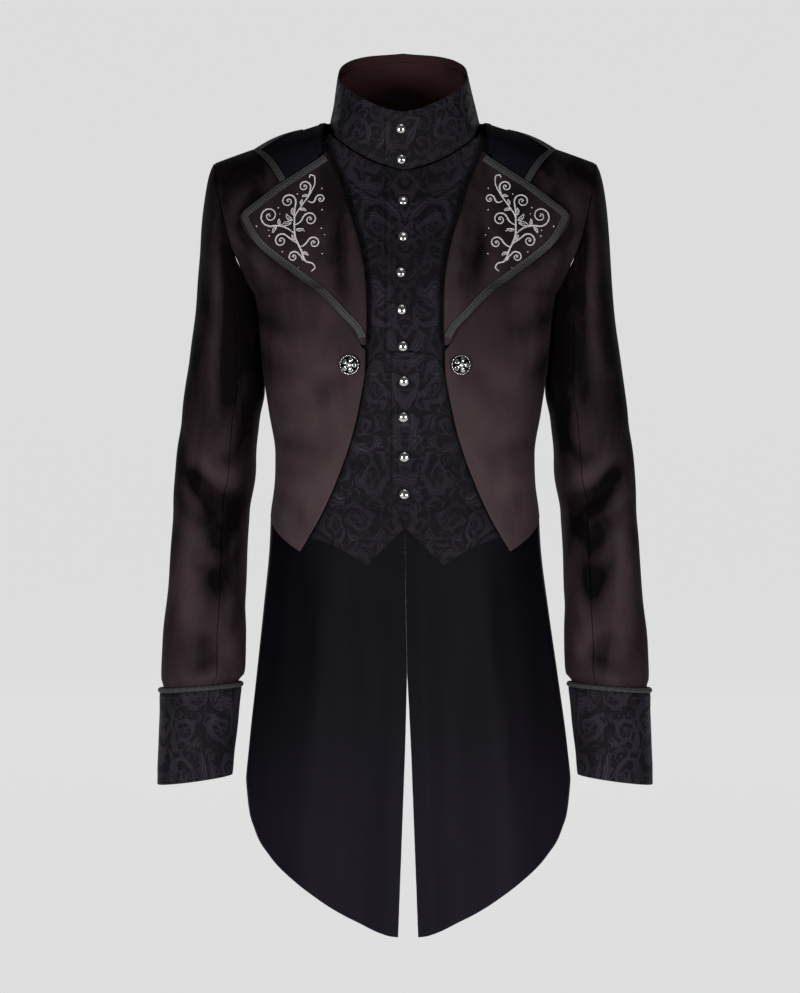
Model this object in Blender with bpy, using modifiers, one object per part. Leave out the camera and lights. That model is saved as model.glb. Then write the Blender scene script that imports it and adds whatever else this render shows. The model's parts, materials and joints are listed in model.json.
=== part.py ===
"""Gothic tailcoat with a mock waistcoat, filled out as if worn.

Every size is in millimetres until a mesh is made. X runs across the garment (the wearer's left is +X),
the front faces -Y and Z is up. The origin lies on the shoulder line at the middle of the neck.
"""

import math

import bpy
import numpy as np
from mathutils import Matrix, Vector

TO_METRES = 0.001
COLLECTION = "gothic_tailcoat"

# Cloth walls and the gap that is left between sewn pieces.
GAP = 0.3
VELVET_WALL = 1.8
BROCADE_WALL = 1.5
LINING_WALL = 1.0
LAPEL_WALL = 1.5
COLLAR_WALL = 2.0
BRAID_WALL = 1.0
BRAID_WIDTH = 8.0
BRAID_INSET = 1.0
TIP_RADIUS = 9.0
CUFF_WALL = 2.2

# Main lengths of the coat, measured from the shoulder line.
WAIST_JOIN_Z = -460.0
FRONT_TIP_Z = -504.5
TAIL_TIP_Z = -981.0
VENT_TOP_Z = -663.0
VENT_HALF_GAP = 12.0
BREAK_Z = -263.0
CLOSED_EDGE_Z = -270.0
LAPEL_TOP_Z = -33.6
LAPEL_ROLL = 5.5
ROLL_TURN = 5.0
ROLL_SPRING = 3.2
ROLL_SPREAD = 24.0
LAYER_GAP = 1.8

# How far the waistcoat lies inside the coat's outer face, in the middle and at the side seams.
VEST_MIDDLE_DEPTH = 9.0
VEST_SIDE_DEPTH = 5.8
WAIST_PANEL_RISE = 3.0
OVERLAP_RISE = 2.5

# The neck: where it meets the shoulder seam and how far it dips at the back.
NECK_X = 91.0
BACK_NECK_DOWN = 50.0

# The side seam's length from the shoulder point, in rows that the fronts, backs and sleeves share.
SIDE_END = 470.0
SIDE_ROWS = 18
ARMHOLE_ROWS = 8
ARMHOLE_END = SIDE_END * ARMHOLE_ROWS / SIDE_ROWS

SMALL_BUTTON_RADIUS = 6.2
LARGE_BUTTON_RADIUS = 12.0

# The body form that the coat is cut to, as rows that run from the middle line to the armhole or side
# seam. "down" counts from the shoulder seam, over the front (plus) and over the back (minus).
FORM_COLUMNS = ("down", "side_x", "side_y", "side_z", "mid_y", "mid_z", "square", "reach", "bow")
FORM_ROWS = (
    (-535, 163.5, 1, -522, 112, -524, 2.3, 1.00, 2.0),
    (-470, 161.0, 1, -460, 99, -462, 2.3, 1.00, 2.0),
    (-435, 156.5, 1, -425, 91, -426, 2.3, 1.00, 2.0),
    (-400, 155.5, 1, -390, 85, -390, 2.3, 1.00, 2.0),
    (-350, 163.0, 1, -340, 89, -340, 2.3, 1.00, 2.0),
    (-300, 170.5, 1, -290, 99, -288, 2.3, 1.00, 2.0),
    (-245, 176.0, 1, -235, 107, -232, 2.3, 1.00, 2.0),
    (-209, 181.0, 1, -203, 110, -194, 2.3, 1.00, 2.0),
    (-192, 187.0, 26, -193, 110, -168, 2.3, 0.98, 2.0),
    (-165, 197.0, 54, -170, 107, -133, 2.2, 0.94, 2.0),
    (-130, 207.5, 69, -142, 102, -85, 2.1, 0.88, 2.0),
    (-90, 216.0, 67, -106, 87, -32, 2.0, 0.86, 1.8),
    (-52, 223.0, 49, -74, 62, 14, 2.0, 0.86, 1.6),
    (-25, 226.5, 26, -50, 33, 15, 2.0, 0.88, 1.6),
    (0, 228.0, 2, -40, 2, 18, 2.0, 0.90, 1.5),
    (25, 226.5, -22, -52, -32, 9, 2.0, 0.88, 1.6),
    (52, 223.0, -44, -76, -55, 0, 2.0, 0.86, 1.6),
    (90, 216.0, -58, -106, -66, -52, 2.0, 0.86, 1.8),
    (130, 207.0, -57, -142, -87, -96, 2.1, 0.88, 2.0),
    (165, 196.0, -44, -168, -104, -136, 2.2, 0.94, 2.0),
    (192, 186.0, -22, -192, -115, -170, 2.3, 0.98, 2.0),
    (209, 181.0, 1, -203, -121, -196, 2.3, 1.00, 2.0),
    (245, 176.0, 1, -235, -125, -235, 2.3, 1.00, 2.0),
    (300, 170.5, 1, -290, -123, -290, 2.3, 1.00, 2.0),
    (350, 163.0, 1, -340, -117, -340, 2.3, 1.00, 2.0),
    (400, 155.5, 1, -390, -111, -390, 2.3, 1.00, 2.0),
    (435, 156.5, 1, -425, -111, -425, 2.3, 1.00, 2.0),
    (470, 161.0, 1, -460, -113, -460, 2.3, 1.00, 2.0),
    (535, 165.0, 1, -525, -118, -525, 2.3, 1.00, 2.0),
)

# The coat's front edge: the lapel's roll line down to its break, then the cutaway edge to the tip.
FRONT_EDGE_COLUMNS = ("z", "x")
FRONT_EDGE_ROWS = (
    (-504.5, 124.8),
    (-467.5, 102.5),
    (-416.2, 78.8),
    (-366.8, 61.7),
    (-324.0, 52.0),
    (-294.0, 47.2),
    (-261.6, 46.6),
    (-238.8, 45.4),
    (-199.2, 46.0),
    (-160.8, 50.5),
    (-134.6, 56.6),
    (-101.0, 67.4),
    (-68.9, 76.6),
    (-50.4, 84.2),
    (-33.6, 91.0),
    (-10.0, 93.5),
    (12.0, 93.0),
)

# The lapel's free edge from its tip down to the break.
LAPEL_EDGE_COLUMNS = ("x", "z")
LAPEL_EDGE_ROWS = (
    (196.0, -107.0),
    (191.5, -122.0),
    (176.4, -140.4),
    (153.6, -160.8),
    (130.2, -178.8),
    (99.6, -203.5),
    (74.0, -230.0),
    (56.5, -250.0),
    (50.5, -262.0),
)

# The gorge: the lapel's upper edge, from the roll line past the notch to the lapel's tip.
GORGE_COLUMNS = ("x", "z")
GORGE_ROWS = (
    (91.0, -33.6),
    (148.0, -70.0),
    (196.0, -107.0),
)

# The fall collar's outer edge from the centre back over the shoulder, by its share of the whole edge,
# then its front corner in the front view.
FALL_COLUMNS = ("part", "x", "down")
FALL_ROWS = (
    (0.0, 0.0, -108.0),
    (0.22, 46.0, -105.0),
    (0.42, 87.0, -86.0),
    (0.58, 114.0, -48.0),
    (0.7, 130.0, -3.0),
)
FALL_CORNER = (179.0, -31.0)
FALL_CORNER_PART = 0.9
NOTCH_X = 148.0
SHOULDER_PART = 0.74
FALL_FRONT_X = 95.0
FALL_LIES = LAPEL_WALL + LAYER_GAP + 3 * GAP
FALL_BACK_HIGH = 14.0
FALL_SIDE_HIGH = 5.0

# The neckline in the front view and the stand collar's upper rim, by the angle round the neck.
NECKLINE_COLUMNS = ("x", "z")
NECKLINE_ROWS = (
    (0.0, -52.0),
    (24.0, -46.5),
    (52.0, -35.0),
    (72.0, -21.0),
    (84.0, -7.0),
    (91.0, 3.0),
)
RIM_COLUMNS = ("angle", "z")
RIM_ROWS = (
    (0, 15.5),
    (18, 17.5),
    (40, 34.0),
    (60, 46.0),
    (75, 53.0),
    (90, 63.0),
    (105, 76.0),
    (120, 84.5),
    (140, 92.0),
    (180, 98.5),
)
COLLAR_ANGLES = (-15.5, -6, 4, 14, 24, *range(36, 325, 12), 338, 354)
RIM_HALF_WIDTH = 78.0
RIM_HALF_DEPTH = 63.0
RIM_CENTRE_X = -2.5
RIM_CENTRE_Y = -3.0

# The waist panel: rounded upper corners and a hem with two points.
PANEL_TOP_COLUMNS = ("x", "z")
PANEL_TOP_ROWS = (
    (0.0, -271.5),
    (28.0, -271.5),
    (36.0, -275.5),
    (41.0, -286.0),
    (60.0, -303.0),
    (158.0, -320.0),
)
PANEL_HEM_COLUMNS = ("x", "z")
PANEL_HEM_ROWS = (
    (0.0, -476.0),
    (46.0, -520.0),
    (107.0, -483.5),
    (159.0, -454.0),
)

PANEL_SIDE_X = 62.0
PANEL_SIDE_DOWN = 324.0
SIDE_EDGE = 0.985

# One sleeve, by level: its outer and inner edge, the middle and half depth seen from the side.
SLEEVE_COLUMNS = ("z", "outer_x", "inner_x", "mid_y", "half_depth", "tilt")
SLEEVE_ROWS = (
    (-774.0, 289.0, 213.0, -37.0, 41.0, 11.0),
    (-740.0, 289.5, 208.0, -35.0, 42.5, 9.5),
    (-700.0, 289.0, 203.5, -33.0, 44.0, 8.0),
    (-676.0, 288.0, 200.0, -31.5, 45.0, 7.0),
    (-664.0, 287.6, 199.4, -31.0, 45.5, 7.0),
    (-654.0, 290.6, 191.8, -30.0, 51.0, 6.5),
    (-636.0, 291.0, 190.2, -28.0, 52.0, 6.0),
    (-612.0, 290.2, 189.8, -24.0, 52.5, 5.0),
    (-560.0, 284.5, 189.5, -13.0, 53.5, 3.0),
    (-516.0, 281.8, 189.2, -4.0, 55.0, 2.0),
    (-460.8, 279.6, 184.4, 6.0, 58.0, 1.0),
    (-388.8, 274.8, 176.8, 14.0, 65.0, 0.0),
    (-345.0, 269.4, 174.6, 18.0, 71.0, 0.0),
    (-312.0, 265.0, 168.8, 20.0, 74.0, 0.0),
    (-280.0, 260.4, 171.2, 20.0, 78.0, 0.0),
    (-243.6, 255.0, 174.6, 18.0, 80.0, 0.0),
)
SLEEVE_TOP_Z = -243.6
SLEEVE_END_Z = -774.0
SLEEVE_CLEARANCE = 0.6

# The large folds of a sleeve: level, angle round it, how the level falls with the angle, depth and
# spread. Angle 0 is the outside of the arm and 90 its front.
FOLD_COLUMNS = ("z", "angle", "fall", "depth", "spread", "reach")
FOLD_ROWS = (
    (-352.0, 100, 0.9, 2.0, 22.0, 55),
    (-402.0, 70, 1.1, 4.0, 20.0, 60),
    (-446.0, 110, 0.7, 4.5, 22.0, 55),
    (-492.0, 60, 0.9, 3.0, 22.0, 60),
    (-604.0, 80, -0.5, 3.0, 22.0, 60),
    (-372.0, 190, -0.8, 4.0, 22.0, 50),
    (-424.0, 230, -0.9, 4.0, 22.0, 60),
    (-590.0, 250, 0.5, 3.0, 24.0, 60),
)

CUFF_COLUMNS = ("part", "outer_x", "inner_x", "mid_y", "half_depth", "z", "tilt")
CUFF_ROWS = (
    (0.0, 292.4, 194.5, -31.5, 50.5, -670.0, 7.5),
    (0.5, 293.4, 199.8, -34.5, 48.5, -723.0, 9.5),
    (1.0, 294.8, 205.2, -37.5, 46.5, -776.5, 11.5),
)
CUFF_ROLL_RADIUS = 3.0

# The tails, by level: the side edge, the centre back, and how square and how far round they go.
TAIL_COLUMNS = ("z", "side_x", "side_y", "mid_y", "square", "reach", "fold")
TAIL_ROWS = (
    (-981.0, 196.5, 46.0, 104.0, 2.1, 0.90, 5.5),
    (-880.0, 196.5, 42.0, 108.0, 2.1, 0.90, 5.5),
    (-790.0, 196.5, 37.0, 113.0, 2.1, 0.91, 5.0),
    (-744.0, 192.5, 33.0, 115.5, 2.1, 0.92, 4.5),
    (-661.0, 182.5, 25.0, 119.0, 2.2, 0.94, 3.5),
    (-571.0, 171.0, 13.0, 119.0, 2.2, 0.96, 2.0),
    (-500.0, 163.0, 4.0, 110.0, 2.3, 0.99, 0.6),
    (-460.0, 161.0, 1.0, 99.0, 2.3, 1.00, 0.0),
)
# The tails' folds as a wave across each tail: its start, its turns and how it narrows at the side.
TAIL_WAVE_START = 1.1
TAIL_WAVE_TURNS = 10.0
TAIL_WAVE_POWER = 0.85
TAIL_SWING = 4.0
TAIL_HEM_COLUMNS = ("part", "z")
TAIL_HEM_ROWS = (
    (0.0, -981.0),
    (0.04, -980.0),
    (0.218, -961.0),
    (0.404, -938.5),
    (0.59, -911.5),
    (0.777, -877.5),
    (0.907, -844.0),
    (0.973, -812.0),
    (1.0, -780.0),
)

SMALL_BUTTON_COLUMNS = ("x", "z")
SMALL_BUTTON_ROWS = (
    (-3.0, -5.0),
    (-3.5, -41.0),
    (-2.5, -89.0),
    (-2.5, -133.0),
    (-5.0, -176.5),
    (-4.0, -221.0),
    (-2.5, -264.5),
    (-1.5, -305.5),
    (-2.0, -347.5),
    (-1.0, -393.5),
    (-1.0, -437.0),
)
COLLAR_BUTTONS = 2
COLLAR_BUTTON_SINK = 0.5
FIRST_WAIST_BUTTON = 7
LARGE_BUTTON_X = 64.5
LARGE_BUTTON_Z = -286.0

# Colours as linear RGB, then roughness, metallic and sheen.
FINISHES = {
    "velvet": ((0.016, 0.010, 0.010), 0.75, 0.0, 0.5),
    "fall_velvet": ((0.004, 0.004, 0.006), 0.85, 0.0, 0.2),
    "brocade": ((0.012, 0.011, 0.014), 0.45, 0.0, 0.1),
    "satin": ((0.008, 0.008, 0.012), 0.35, 0.0, 0.0),
    "wine_facing": ((0.030, 0.004, 0.008), 0.55, 0.0, 0.3),
    "braid": ((0.010, 0.009, 0.011), 0.60, 0.0, 0.1),
    "silver": ((0.75, 0.74, 0.72), 0.18, 1.0, 0.0),
}


def table(columns, rows):
    """The rows of a table as one array for each named column."""
    values = np.array(rows, float)
    return {name: values[:, i] for i, name in enumerate(columns)}


def smooth(keys, values):
    """A curve through the values that never swings past them: it is level at each high or low."""
    keys = np.asarray(keys, float)
    values = np.asarray(values, float)
    steps = np.diff(keys)
    grades = np.diff(values) / steps
    before, after = grades[:-1], grades[1:]
    same_way = before * after > 0
    steepest = 3 * np.minimum(np.abs(before), np.abs(after))
    mean = (before * steps[1:] + after * steps[:-1]) / (steps[1:] + steps[:-1])
    inner = np.where(same_way, np.sign(mean) * np.minimum(np.abs(mean), steepest), 0.0)
    slopes = np.concatenate([grades[:1], inner, grades[-1:]])

    def at(key):
        key = np.clip(key, keys[0], keys[-1])
        i = np.clip(np.searchsorted(keys, key, side="right") - 1, 0, len(keys) - 2)
        step = keys[i + 1] - keys[i]
        u = (key - keys[i]) / step
        rise = values[i + 1] - values[i]
        curve = slopes[i] * step * u * (1 - u) ** 2 - slopes[i + 1] * step * u * u * (1 - u)
        return values[i] + rise * (3 * u * u - 2 * u**3) + curve

    return at


def smooth_table(columns, rows):
    """A smooth curve over the first column for each of the others."""
    named = table(columns, rows)
    return {name: smooth(named[columns[0]], named[name]) for name in columns[1:]}


def ease(value, start, end):
    """0 before start, 1 after end, and a soft step between."""
    u = np.clip((np.asarray(value, float) - start) / (end - start), 0, 1)
    return u * u * (3 - 2 * u)


FORM = smooth_table(FORM_COLUMNS, FORM_ROWS)
FRONT_EDGE = smooth_table(FRONT_EDGE_COLUMNS, FRONT_EDGE_ROWS)
RIM = smooth_table(RIM_COLUMNS, RIM_ROWS)
SLEEVE = smooth_table(SLEEVE_COLUMNS, SLEEVE_ROWS)
CUFF = smooth_table(CUFF_COLUMNS, CUFF_ROWS)
TAIL = smooth_table(TAIL_COLUMNS, TAIL_ROWS)
TAIL_HEM = smooth_table(TAIL_HEM_COLUMNS, TAIL_HEM_ROWS)


def form_point(across, down):
    """A point of the form: across runs from -1 to 1, side to side, and down from the shoulder seam."""
    part = np.abs(across)
    square = FORM["square"](down)
    reach = FORM["reach"](down)
    end_angle = np.arcsin(np.clip(reach ** (square / 2), 0, 1))
    angle = part * end_angle
    ratio = np.clip(np.sin(angle), 0, 1) ** (2 / square) / reach
    depth = 1 - np.clip(np.cos(angle), 0, 1) ** (2 / square)
    end_depth = 1 - np.clip(np.cos(end_angle), 0, 1) ** (2 / square)
    x = FORM["side_x"](down) * ratio
    y = FORM["mid_y"](down) + (FORM["side_y"](down) - FORM["mid_y"](down)) * depth / end_depth
    z = FORM["mid_z"](down) + (FORM["side_z"](down) - FORM["mid_z"](down)) * ratio ** FORM["bow"](down)
    return np.stack([x * np.where(across < 0, -1.0, 1.0), y, z], axis=-1)


def across_of(x, down):
    """How far across the form a distance from the middle line is, on one row."""
    square = FORM["square"](down)
    reach = FORM["reach"](down)
    ratio = np.clip(np.abs(x) / FORM["side_x"](down) * reach, 0, reach)
    end_angle = np.arcsin(np.clip(reach ** (square / 2), 0, 1))
    side = np.where(np.asarray(x) < 0, -1.0, 1.0)
    return side * np.arcsin(np.clip(ratio ** (square / 2), 0, 1)) / end_angle


def down_of(x, z):
    """The row of the front on which a point of the front view lies."""
    x, z = np.broadcast_arrays(np.abs(np.asarray(x, float)), np.asarray(z, float))
    low = np.zeros(x.shape)
    high = np.full(x.shape, 535.0)
    for _ in range(36):
        middle = (low + high) / 2
        ratio = np.clip(x / FORM["side_x"](middle), 0, 1)
        level = FORM["mid_z"](middle)
        level = level + (FORM["side_z"](middle) - level) * ratio ** FORM["bow"](middle)
        above = level > z
        low = np.where(above, middle, low)
        high = np.where(above, high, middle)
    return (low + high) / 2


def form_place(x, z):
    """(across, down) of a point given in the front view."""
    down = down_of(x, z)
    return across_of(x, down), down


def form_normal(across, down):
    """The outward direction of the form."""
    step_a, step_d = 0.004, 1.0
    low_a = np.clip(across - step_a, -1, 1)
    high_a = np.clip(across + step_a, -1, 1)
    along = form_point(high_a, down) - form_point(low_a, down)
    below = form_point(across, down + step_d) - form_point(across, down - step_d)
    normal = np.cross(below, along)
    return normal / np.linalg.norm(normal, axis=-1, keepdims=True)


def on_form(across, down, height=0.0):
    """Points at a height over the form; a negative height is inside it."""
    height = np.broadcast_to(np.asarray(height, float), np.shape(down))
    return form_point(across, down) + form_normal(across, down) * height[..., None]


def patch(top, bottom, left, right):
    """Fills four edges, each a list of (across, down), with a grid of places (a Coons patch)."""
    top, bottom, left, right = (np.asarray(edge, float) for edge in (top, bottom, left, right))
    t = np.linspace(0, 1, len(left))[:, None, None]
    s = np.linspace(0, 1, len(top))[None, :, None]
    ruled = (1 - t) * top[None] + t * bottom[None] + (1 - s) * left[:, None] + s * right[:, None]
    corners = (1 - t) * ((1 - s) * top[0] + s * top[-1]) + t * ((1 - s) * bottom[0] + s * bottom[-1])
    grid = ruled - corners
    return grid[..., 0], grid[..., 1]


def edge_in_view(xs, zs):
    """An edge given by front-view points, as places on the form."""
    across, down = form_place(np.asarray(xs, float), np.asarray(zs, float))
    return np.stack([across, down], axis=-1)


def material(name):
    """The Principled material of one finish."""
    found = bpy.data.materials.get(name)
    if found:
        return found
    colour, roughness, metallic, sheen = FINISHES[name]
    made = bpy.data.materials.new(name)
    made.use_nodes = True
    shader = made.node_tree.nodes["Principled BSDF"]
    shader.inputs["Base Color"].default_value = (*colour, 1.0)
    shader.inputs["Roughness"].default_value = roughness
    shader.inputs["Metallic"].default_value = metallic
    shader.inputs["Sheen Weight"].default_value = sheen
    made.diffuse_color = (*colour, 1.0)
    return made


def add_object(name, mesh, finish, collection):
    """Puts a mesh in the collection as a named piece with its own copy of a finish."""
    own = material(finish).copy()
    own.name = name + "_" + finish
    mesh.materials.append(own)
    mesh.shade_smooth()
    mesh.set_sharp_from_angle(angle=math.radians(40))
    piece = bpy.data.objects.new(name, mesh)
    collection.objects.link(piece)
    return piece


def wall_mesh(name, outer, inner, closed=False):
    """A closed wall between two grids of points; closed joins the last column to the first."""
    rows, columns = outer.shape[:2]
    count = rows * columns
    last = columns if closed else columns - 1
    faces = []

    def quad(a, b, c, d):
        faces.append((a, b, c, d))
        faces.append((a + count, d + count, c + count, b + count))

    for i in range(rows - 1):
        for j in range(last):
            k = (j + 1) % columns
            quad(i * columns + j, (i + 1) * columns + j, (i + 1) * columns + k, i * columns + k)
    for j in range(last):
        k = (j + 1) % columns
        foot = (rows - 1) * columns
        faces.append((j, k, k + count, j + count))
        faces.append((foot + k, foot + j, foot + j + count, foot + k + count))
    if not closed:
        for i in range(rows - 1):
            a, b = i * columns, (i + 1) * columns
            faces.append((b, a, a + count, b + count))
            a, b = a + columns - 1, b + columns - 1
            faces.append((a, b, b + count, a + count))
    points = np.concatenate([outer.reshape(-1, 3), inner.reshape(-1, 3)]) * TO_METRES
    mesh = bpy.data.meshes.new(name)
    mesh.from_pydata(points.tolist(), [], faces)
    mesh.update()
    return mesh


def cloth(name, points, wall, finish, collection, outward, closed=False, inner=None):
    """A piece of cloth: its outer face is the grid, and the wall's thickness goes inwards."""
    inner = points - outward * wall if inner is None else inner
    across = points[:-1, 1:] - points[:-1, :-1]
    along = points[1:, :-1] - points[:-1, :-1]
    turned_in = float((np.cross(along, across) * outward[:-1, :-1]).sum()) < 0
    if turned_in:
        points, inner = points[:, ::-1], inner[:, ::-1]
    mesh = wall_mesh(name, points, inner, closed)
    return add_object(name, mesh, finish, collection)


def mirrored(points):
    """The same points on the other side of the middle line."""
    return points * np.array([-1.0, 1.0, 1.0])


def pair(name, points, wall, finish, collection, outward, closed=False, inner=None):
    """Two mirrored pieces, the wearer's left one and right one."""
    inner = points - outward * wall if inner is None else inner
    for side, turn in (("left", np.asarray), ("right", mirrored)):
        grids = (turn(points), turn(outward), turn(inner))
        cloth(f"{name}_{side}", grids[0], wall, finish, collection, grids[1], closed, grids[2])


def coat_edge_x(z):
    """Where the coat front's wall ends: behind the lapel's roll above the break."""
    return FRONT_EDGE["x"](z) + LAPEL_ROLL * (1 - ease(-z, -BREAK_Z, -CLOSED_EDGE_Z))


def coat_front(collection):
    """From the roll line and cutaway edge to the armhole and the side seam."""
    columns = 13
    levels = np.concatenate([
        [12.0, -2.0, -18.0, -38.0, -62.0, -92.0, -126.0, -162.0, -198.0, -229.0],
        [BREAK_Z, CLOSED_EDGE_Z],
        np.linspace(-290.0, FRONT_TIP_Z, 7),
    ])
    left = edge_in_view(coat_edge_x(levels), levels)
    left[0, 1] = GAP
    downs = np.linspace(GAP, SIDE_END, SIDE_ROWS + 1)
    right = np.stack([np.ones(len(downs)), downs], axis=-1)
    s = np.linspace(0, 1, columns)[:, None]
    across, down = (left[:, None] * (1 - s) + right[:, None] * s).transpose(2, 0, 1)
    points = on_form(across, down)
    points[:, -1, 1] -= 0.5 * GAP
    pair("coat_front", points, VELVET_WALL, "velvet", collection, form_normal(across, down))


def back_neck_down(x):
    """The back neckline, as a row of the form for each distance from the middle line."""
    return -BACK_NECK_DOWN * np.sqrt(np.clip(1 - (np.asarray(x) / NECK_X) ** 2, 0, 1))


def coat_back(collection):
    """From the centre-back seam to the side seam, neckline and shoulder down to the waist join."""
    neck_columns, shoulder_columns = 5, 6
    xs = NECK_X * np.sin(np.linspace(0, math.pi / 2, neck_columns))
    downs = back_neck_down(xs) - GAP
    neck = np.stack([across_of(xs, downs), downs], axis=-1)
    ends = np.linspace(neck[-1, 0], 1.0, shoulder_columns + 1)[1:]
    top = np.concatenate([neck, np.stack([ends, np.full(shoulder_columns, -GAP)], axis=-1)])
    bottom = np.stack([top[:, 0], np.full(len(top), -SIDE_END)], axis=-1)
    t = np.linspace(0, 1, SIDE_ROWS + 1)[:, None, None]
    across, down = ((1 - t) * top[None] + t * bottom[None]).transpose(2, 0, 1)
    points = on_form(across, down)
    points[:, -1, 1] += 0.5 * GAP
    points[:, 0, 0] += 0.6 * GAP
    pair("coat_back", points, VELVET_WALL, "velvet", collection, form_normal(across, down))


def lapel_height(x, z):
    """How high the lapel's face lies over the coat: it springs from the roll and then lies flat."""
    from_roll = np.clip(x - FRONT_EDGE["x"](z), 0, None)
    return LAPEL_WALL + LAYER_GAP + ROLL_SPRING * np.exp(-from_roll / ROLL_SPREAD)


def lapel_grid():
    """The lapel's outer face as places and heights over the form, row by row."""
    edge = np.array(LAPEL_EDGE_ROWS)
    run = np.concatenate([[0], np.cumsum(np.linalg.norm(np.diff(edge, axis=0), axis=1))])
    parts = np.array([0.0, 0.09, 0.2, 0.3, 0.4, 0.5, 0.6, 0.7, 0.8, 0.9, 1.0])
    edge_x = np.interp(parts, run / run[-1], edge[:, 0])
    edge_z = np.interp(parts, run / run[-1], edge[:, 1])
    roll_z = LAPEL_TOP_Z + (BREAK_Z - LAPEL_TOP_Z) * parts
    roll_x = FRONT_EDGE["x"](roll_z)
    shares = np.array([0.0, 0.24, 0.48, 0.72, 1.0])
    width = edge_x - roll_x
    turn = np.minimum(ROLL_TURN, 0.6 * width)
    flat_x = roll_x[:, None] + turn[:, None] + (width - turn)[:, None] * shares
    flat_z = roll_z[:, None] + (edge_z - roll_z)[:, None] * (flat_x - roll_x[:, None]) / width[:, None]
    gorge = table(GORGE_COLUMNS, GORGE_ROWS)
    bend = np.interp(flat_x[0], gorge["x"], gorge["z"]) - flat_z[0]
    flat_z = flat_z + bend[None] * (1 - ease(parts, 0.0, 0.35))[:, None]
    flat_height = lapel_height(flat_x, flat_z)
    turned_x = roll_x[:, None] + np.array([1.2, -0.7, 0.3])
    turned_z = np.repeat(roll_z[:, None], 3, axis=1)
    turned_height = np.repeat(np.array([[-1.4, 1.2, 4.4]]), len(parts), axis=0)
    xs = np.concatenate([turned_x, flat_x], axis=1)
    zs = np.concatenate([turned_z, flat_z], axis=1)
    return xs, zs, np.concatenate([turned_height, flat_height], axis=1)


def lapel(collection):
    """A lapel that rolls over the coat's front edge and lies on the chest."""
    xs, zs, heights = lapel_grid()
    across, down = form_place(xs, zs)
    points = on_form(across, down, heights)
    ahead = np.stack([np.gradient(xs, axis=1), np.gradient(heights, axis=1)])
    ahead /= np.linalg.norm(ahead, axis=0)
    inner_across, inner_down = form_place(xs + ahead[1] * LAPEL_WALL, zs)
    inner = on_form(inner_across, inner_down, heights - ahead[0] * LAPEL_WALL)
    normals = form_normal(across, down)
    pair("lapel", points, LAPEL_WALL, "velvet", collection, normals, inner=inner)


def strip_between(path, width):
    """Front-view points along an open path and along the same path moved inwards by a width."""
    path = np.asarray(path, float)
    ahead = np.gradient(path, axis=0)
    ahead /= np.linalg.norm(ahead, axis=1, keepdims=True)
    inward = np.stack([ahead[:, 1], -ahead[:, 0]], axis=1)
    return path, path + inward * width


def rounded(corners, radius, steps):
    """A path through corners, each inner corner turned on a short curve."""
    corners = [np.asarray(c, float) for c in corners]
    path = [corners[0]]
    for before, corner, after in zip(corners, corners[1:], corners[2:]):
        back = (before - corner) / np.linalg.norm(before - corner)
        ahead = (after - corner) / np.linalg.norm(after - corner)
        start, end = corner + back * radius, corner + ahead * radius
        for u in np.linspace(0, 1, steps):
            path.append((1 - u) ** 2 * start + 2 * u * (1 - u) * corner + u * u * end)
    path.append(corners[-1])
    return np.array(path)


def lapel_braid(collection):
    """Flat braid along the lapel's upper edge, round its tip and down to the break."""
    gorge = table(GORGE_COLUMNS, GORGE_ROWS)
    edge = np.array(LAPEL_EDGE_ROWS)[2:]
    xs = np.concatenate([np.linspace(gorge["x"][0] + 10.0, NOTCH_X, 4), [164.0, 178.0]])
    upper = [np.array([x, z - BRAID_INSET]) for x, z in zip(xs, np.interp(xs, gorge["x"], gorge["z"]))]
    tip = np.array([gorge["x"][-1] - BRAID_INSET, gorge["z"][-1]])
    lower = [np.array([x - BRAID_INSET, z + BRAID_INSET]) for x, z in edge[:-1]]
    bend = rounded([upper[-1], tip, lower[0]], TIP_RADIUS, 5)[1:-1]
    path = np.array(upper + list(bend) + lower)
    outer, inner = strip_between(path, BRAID_WIDTH)
    grid = np.stack([outer, inner], axis=1)
    across, down = form_place(grid[..., 0], grid[..., 1])
    height = lapel_height(grid[..., 0], grid[..., 1]) + BRAID_WALL + 0.7 * LAYER_GAP
    points = on_form(across, down, height)
    pair("lapel_braid", points, BRAID_WALL, "braid", collection, form_normal(across, down))


def collar_base(angle):
    """The foot of the stand collar round the neck: angle 0 is the front and 90 the wearer's left."""
    angle = np.asarray(angle, float)
    turn = np.radians(angle)
    front = np.cos(turn) >= 0
    x = NECK_X * np.sin(turn)
    neck = table(NECKLINE_COLUMNS, NECKLINE_ROWS)
    level = smooth(neck["x"], neck["z"])(np.abs(x))
    across, down = form_place(x, level)
    depth = vest_depth(across)
    ahead = on_form(across, down, -depth)
    down_back = back_neck_down(x)
    behind = on_form(across_of(x, down_back), down_back, -0.5 * VELVET_WALL)
    side = ease(np.cos(turn), 0.0, 0.35)[..., None]
    return np.where(front[..., None], ahead * side + (1 - side) * side_of_neck(turn), behind)


def side_of_neck(turn):
    """The foot of the stand collar where it passes the shoulder seam."""
    x = NECK_X * np.sin(turn)
    down = np.where(np.cos(turn) >= 0, 20.0, -BACK_NECK_DOWN) * np.abs(np.cos(turn))
    return on_form(across_of(x, down), down, -0.5 * VELVET_WALL)


def collar_rim(angle):
    """The upper rim of the stand collar."""
    turn = np.radians(np.asarray(angle, float))
    fold = np.degrees(np.arccos(np.clip(np.cos(turn), -1, 1)))
    x = RIM_CENTRE_X + RIM_HALF_WIDTH * np.sin(turn)
    y = RIM_CENTRE_Y - RIM_HALF_DEPTH * np.cos(turn)
    return np.stack([x, y, RIM["z"](fold)], axis=-1)


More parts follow.
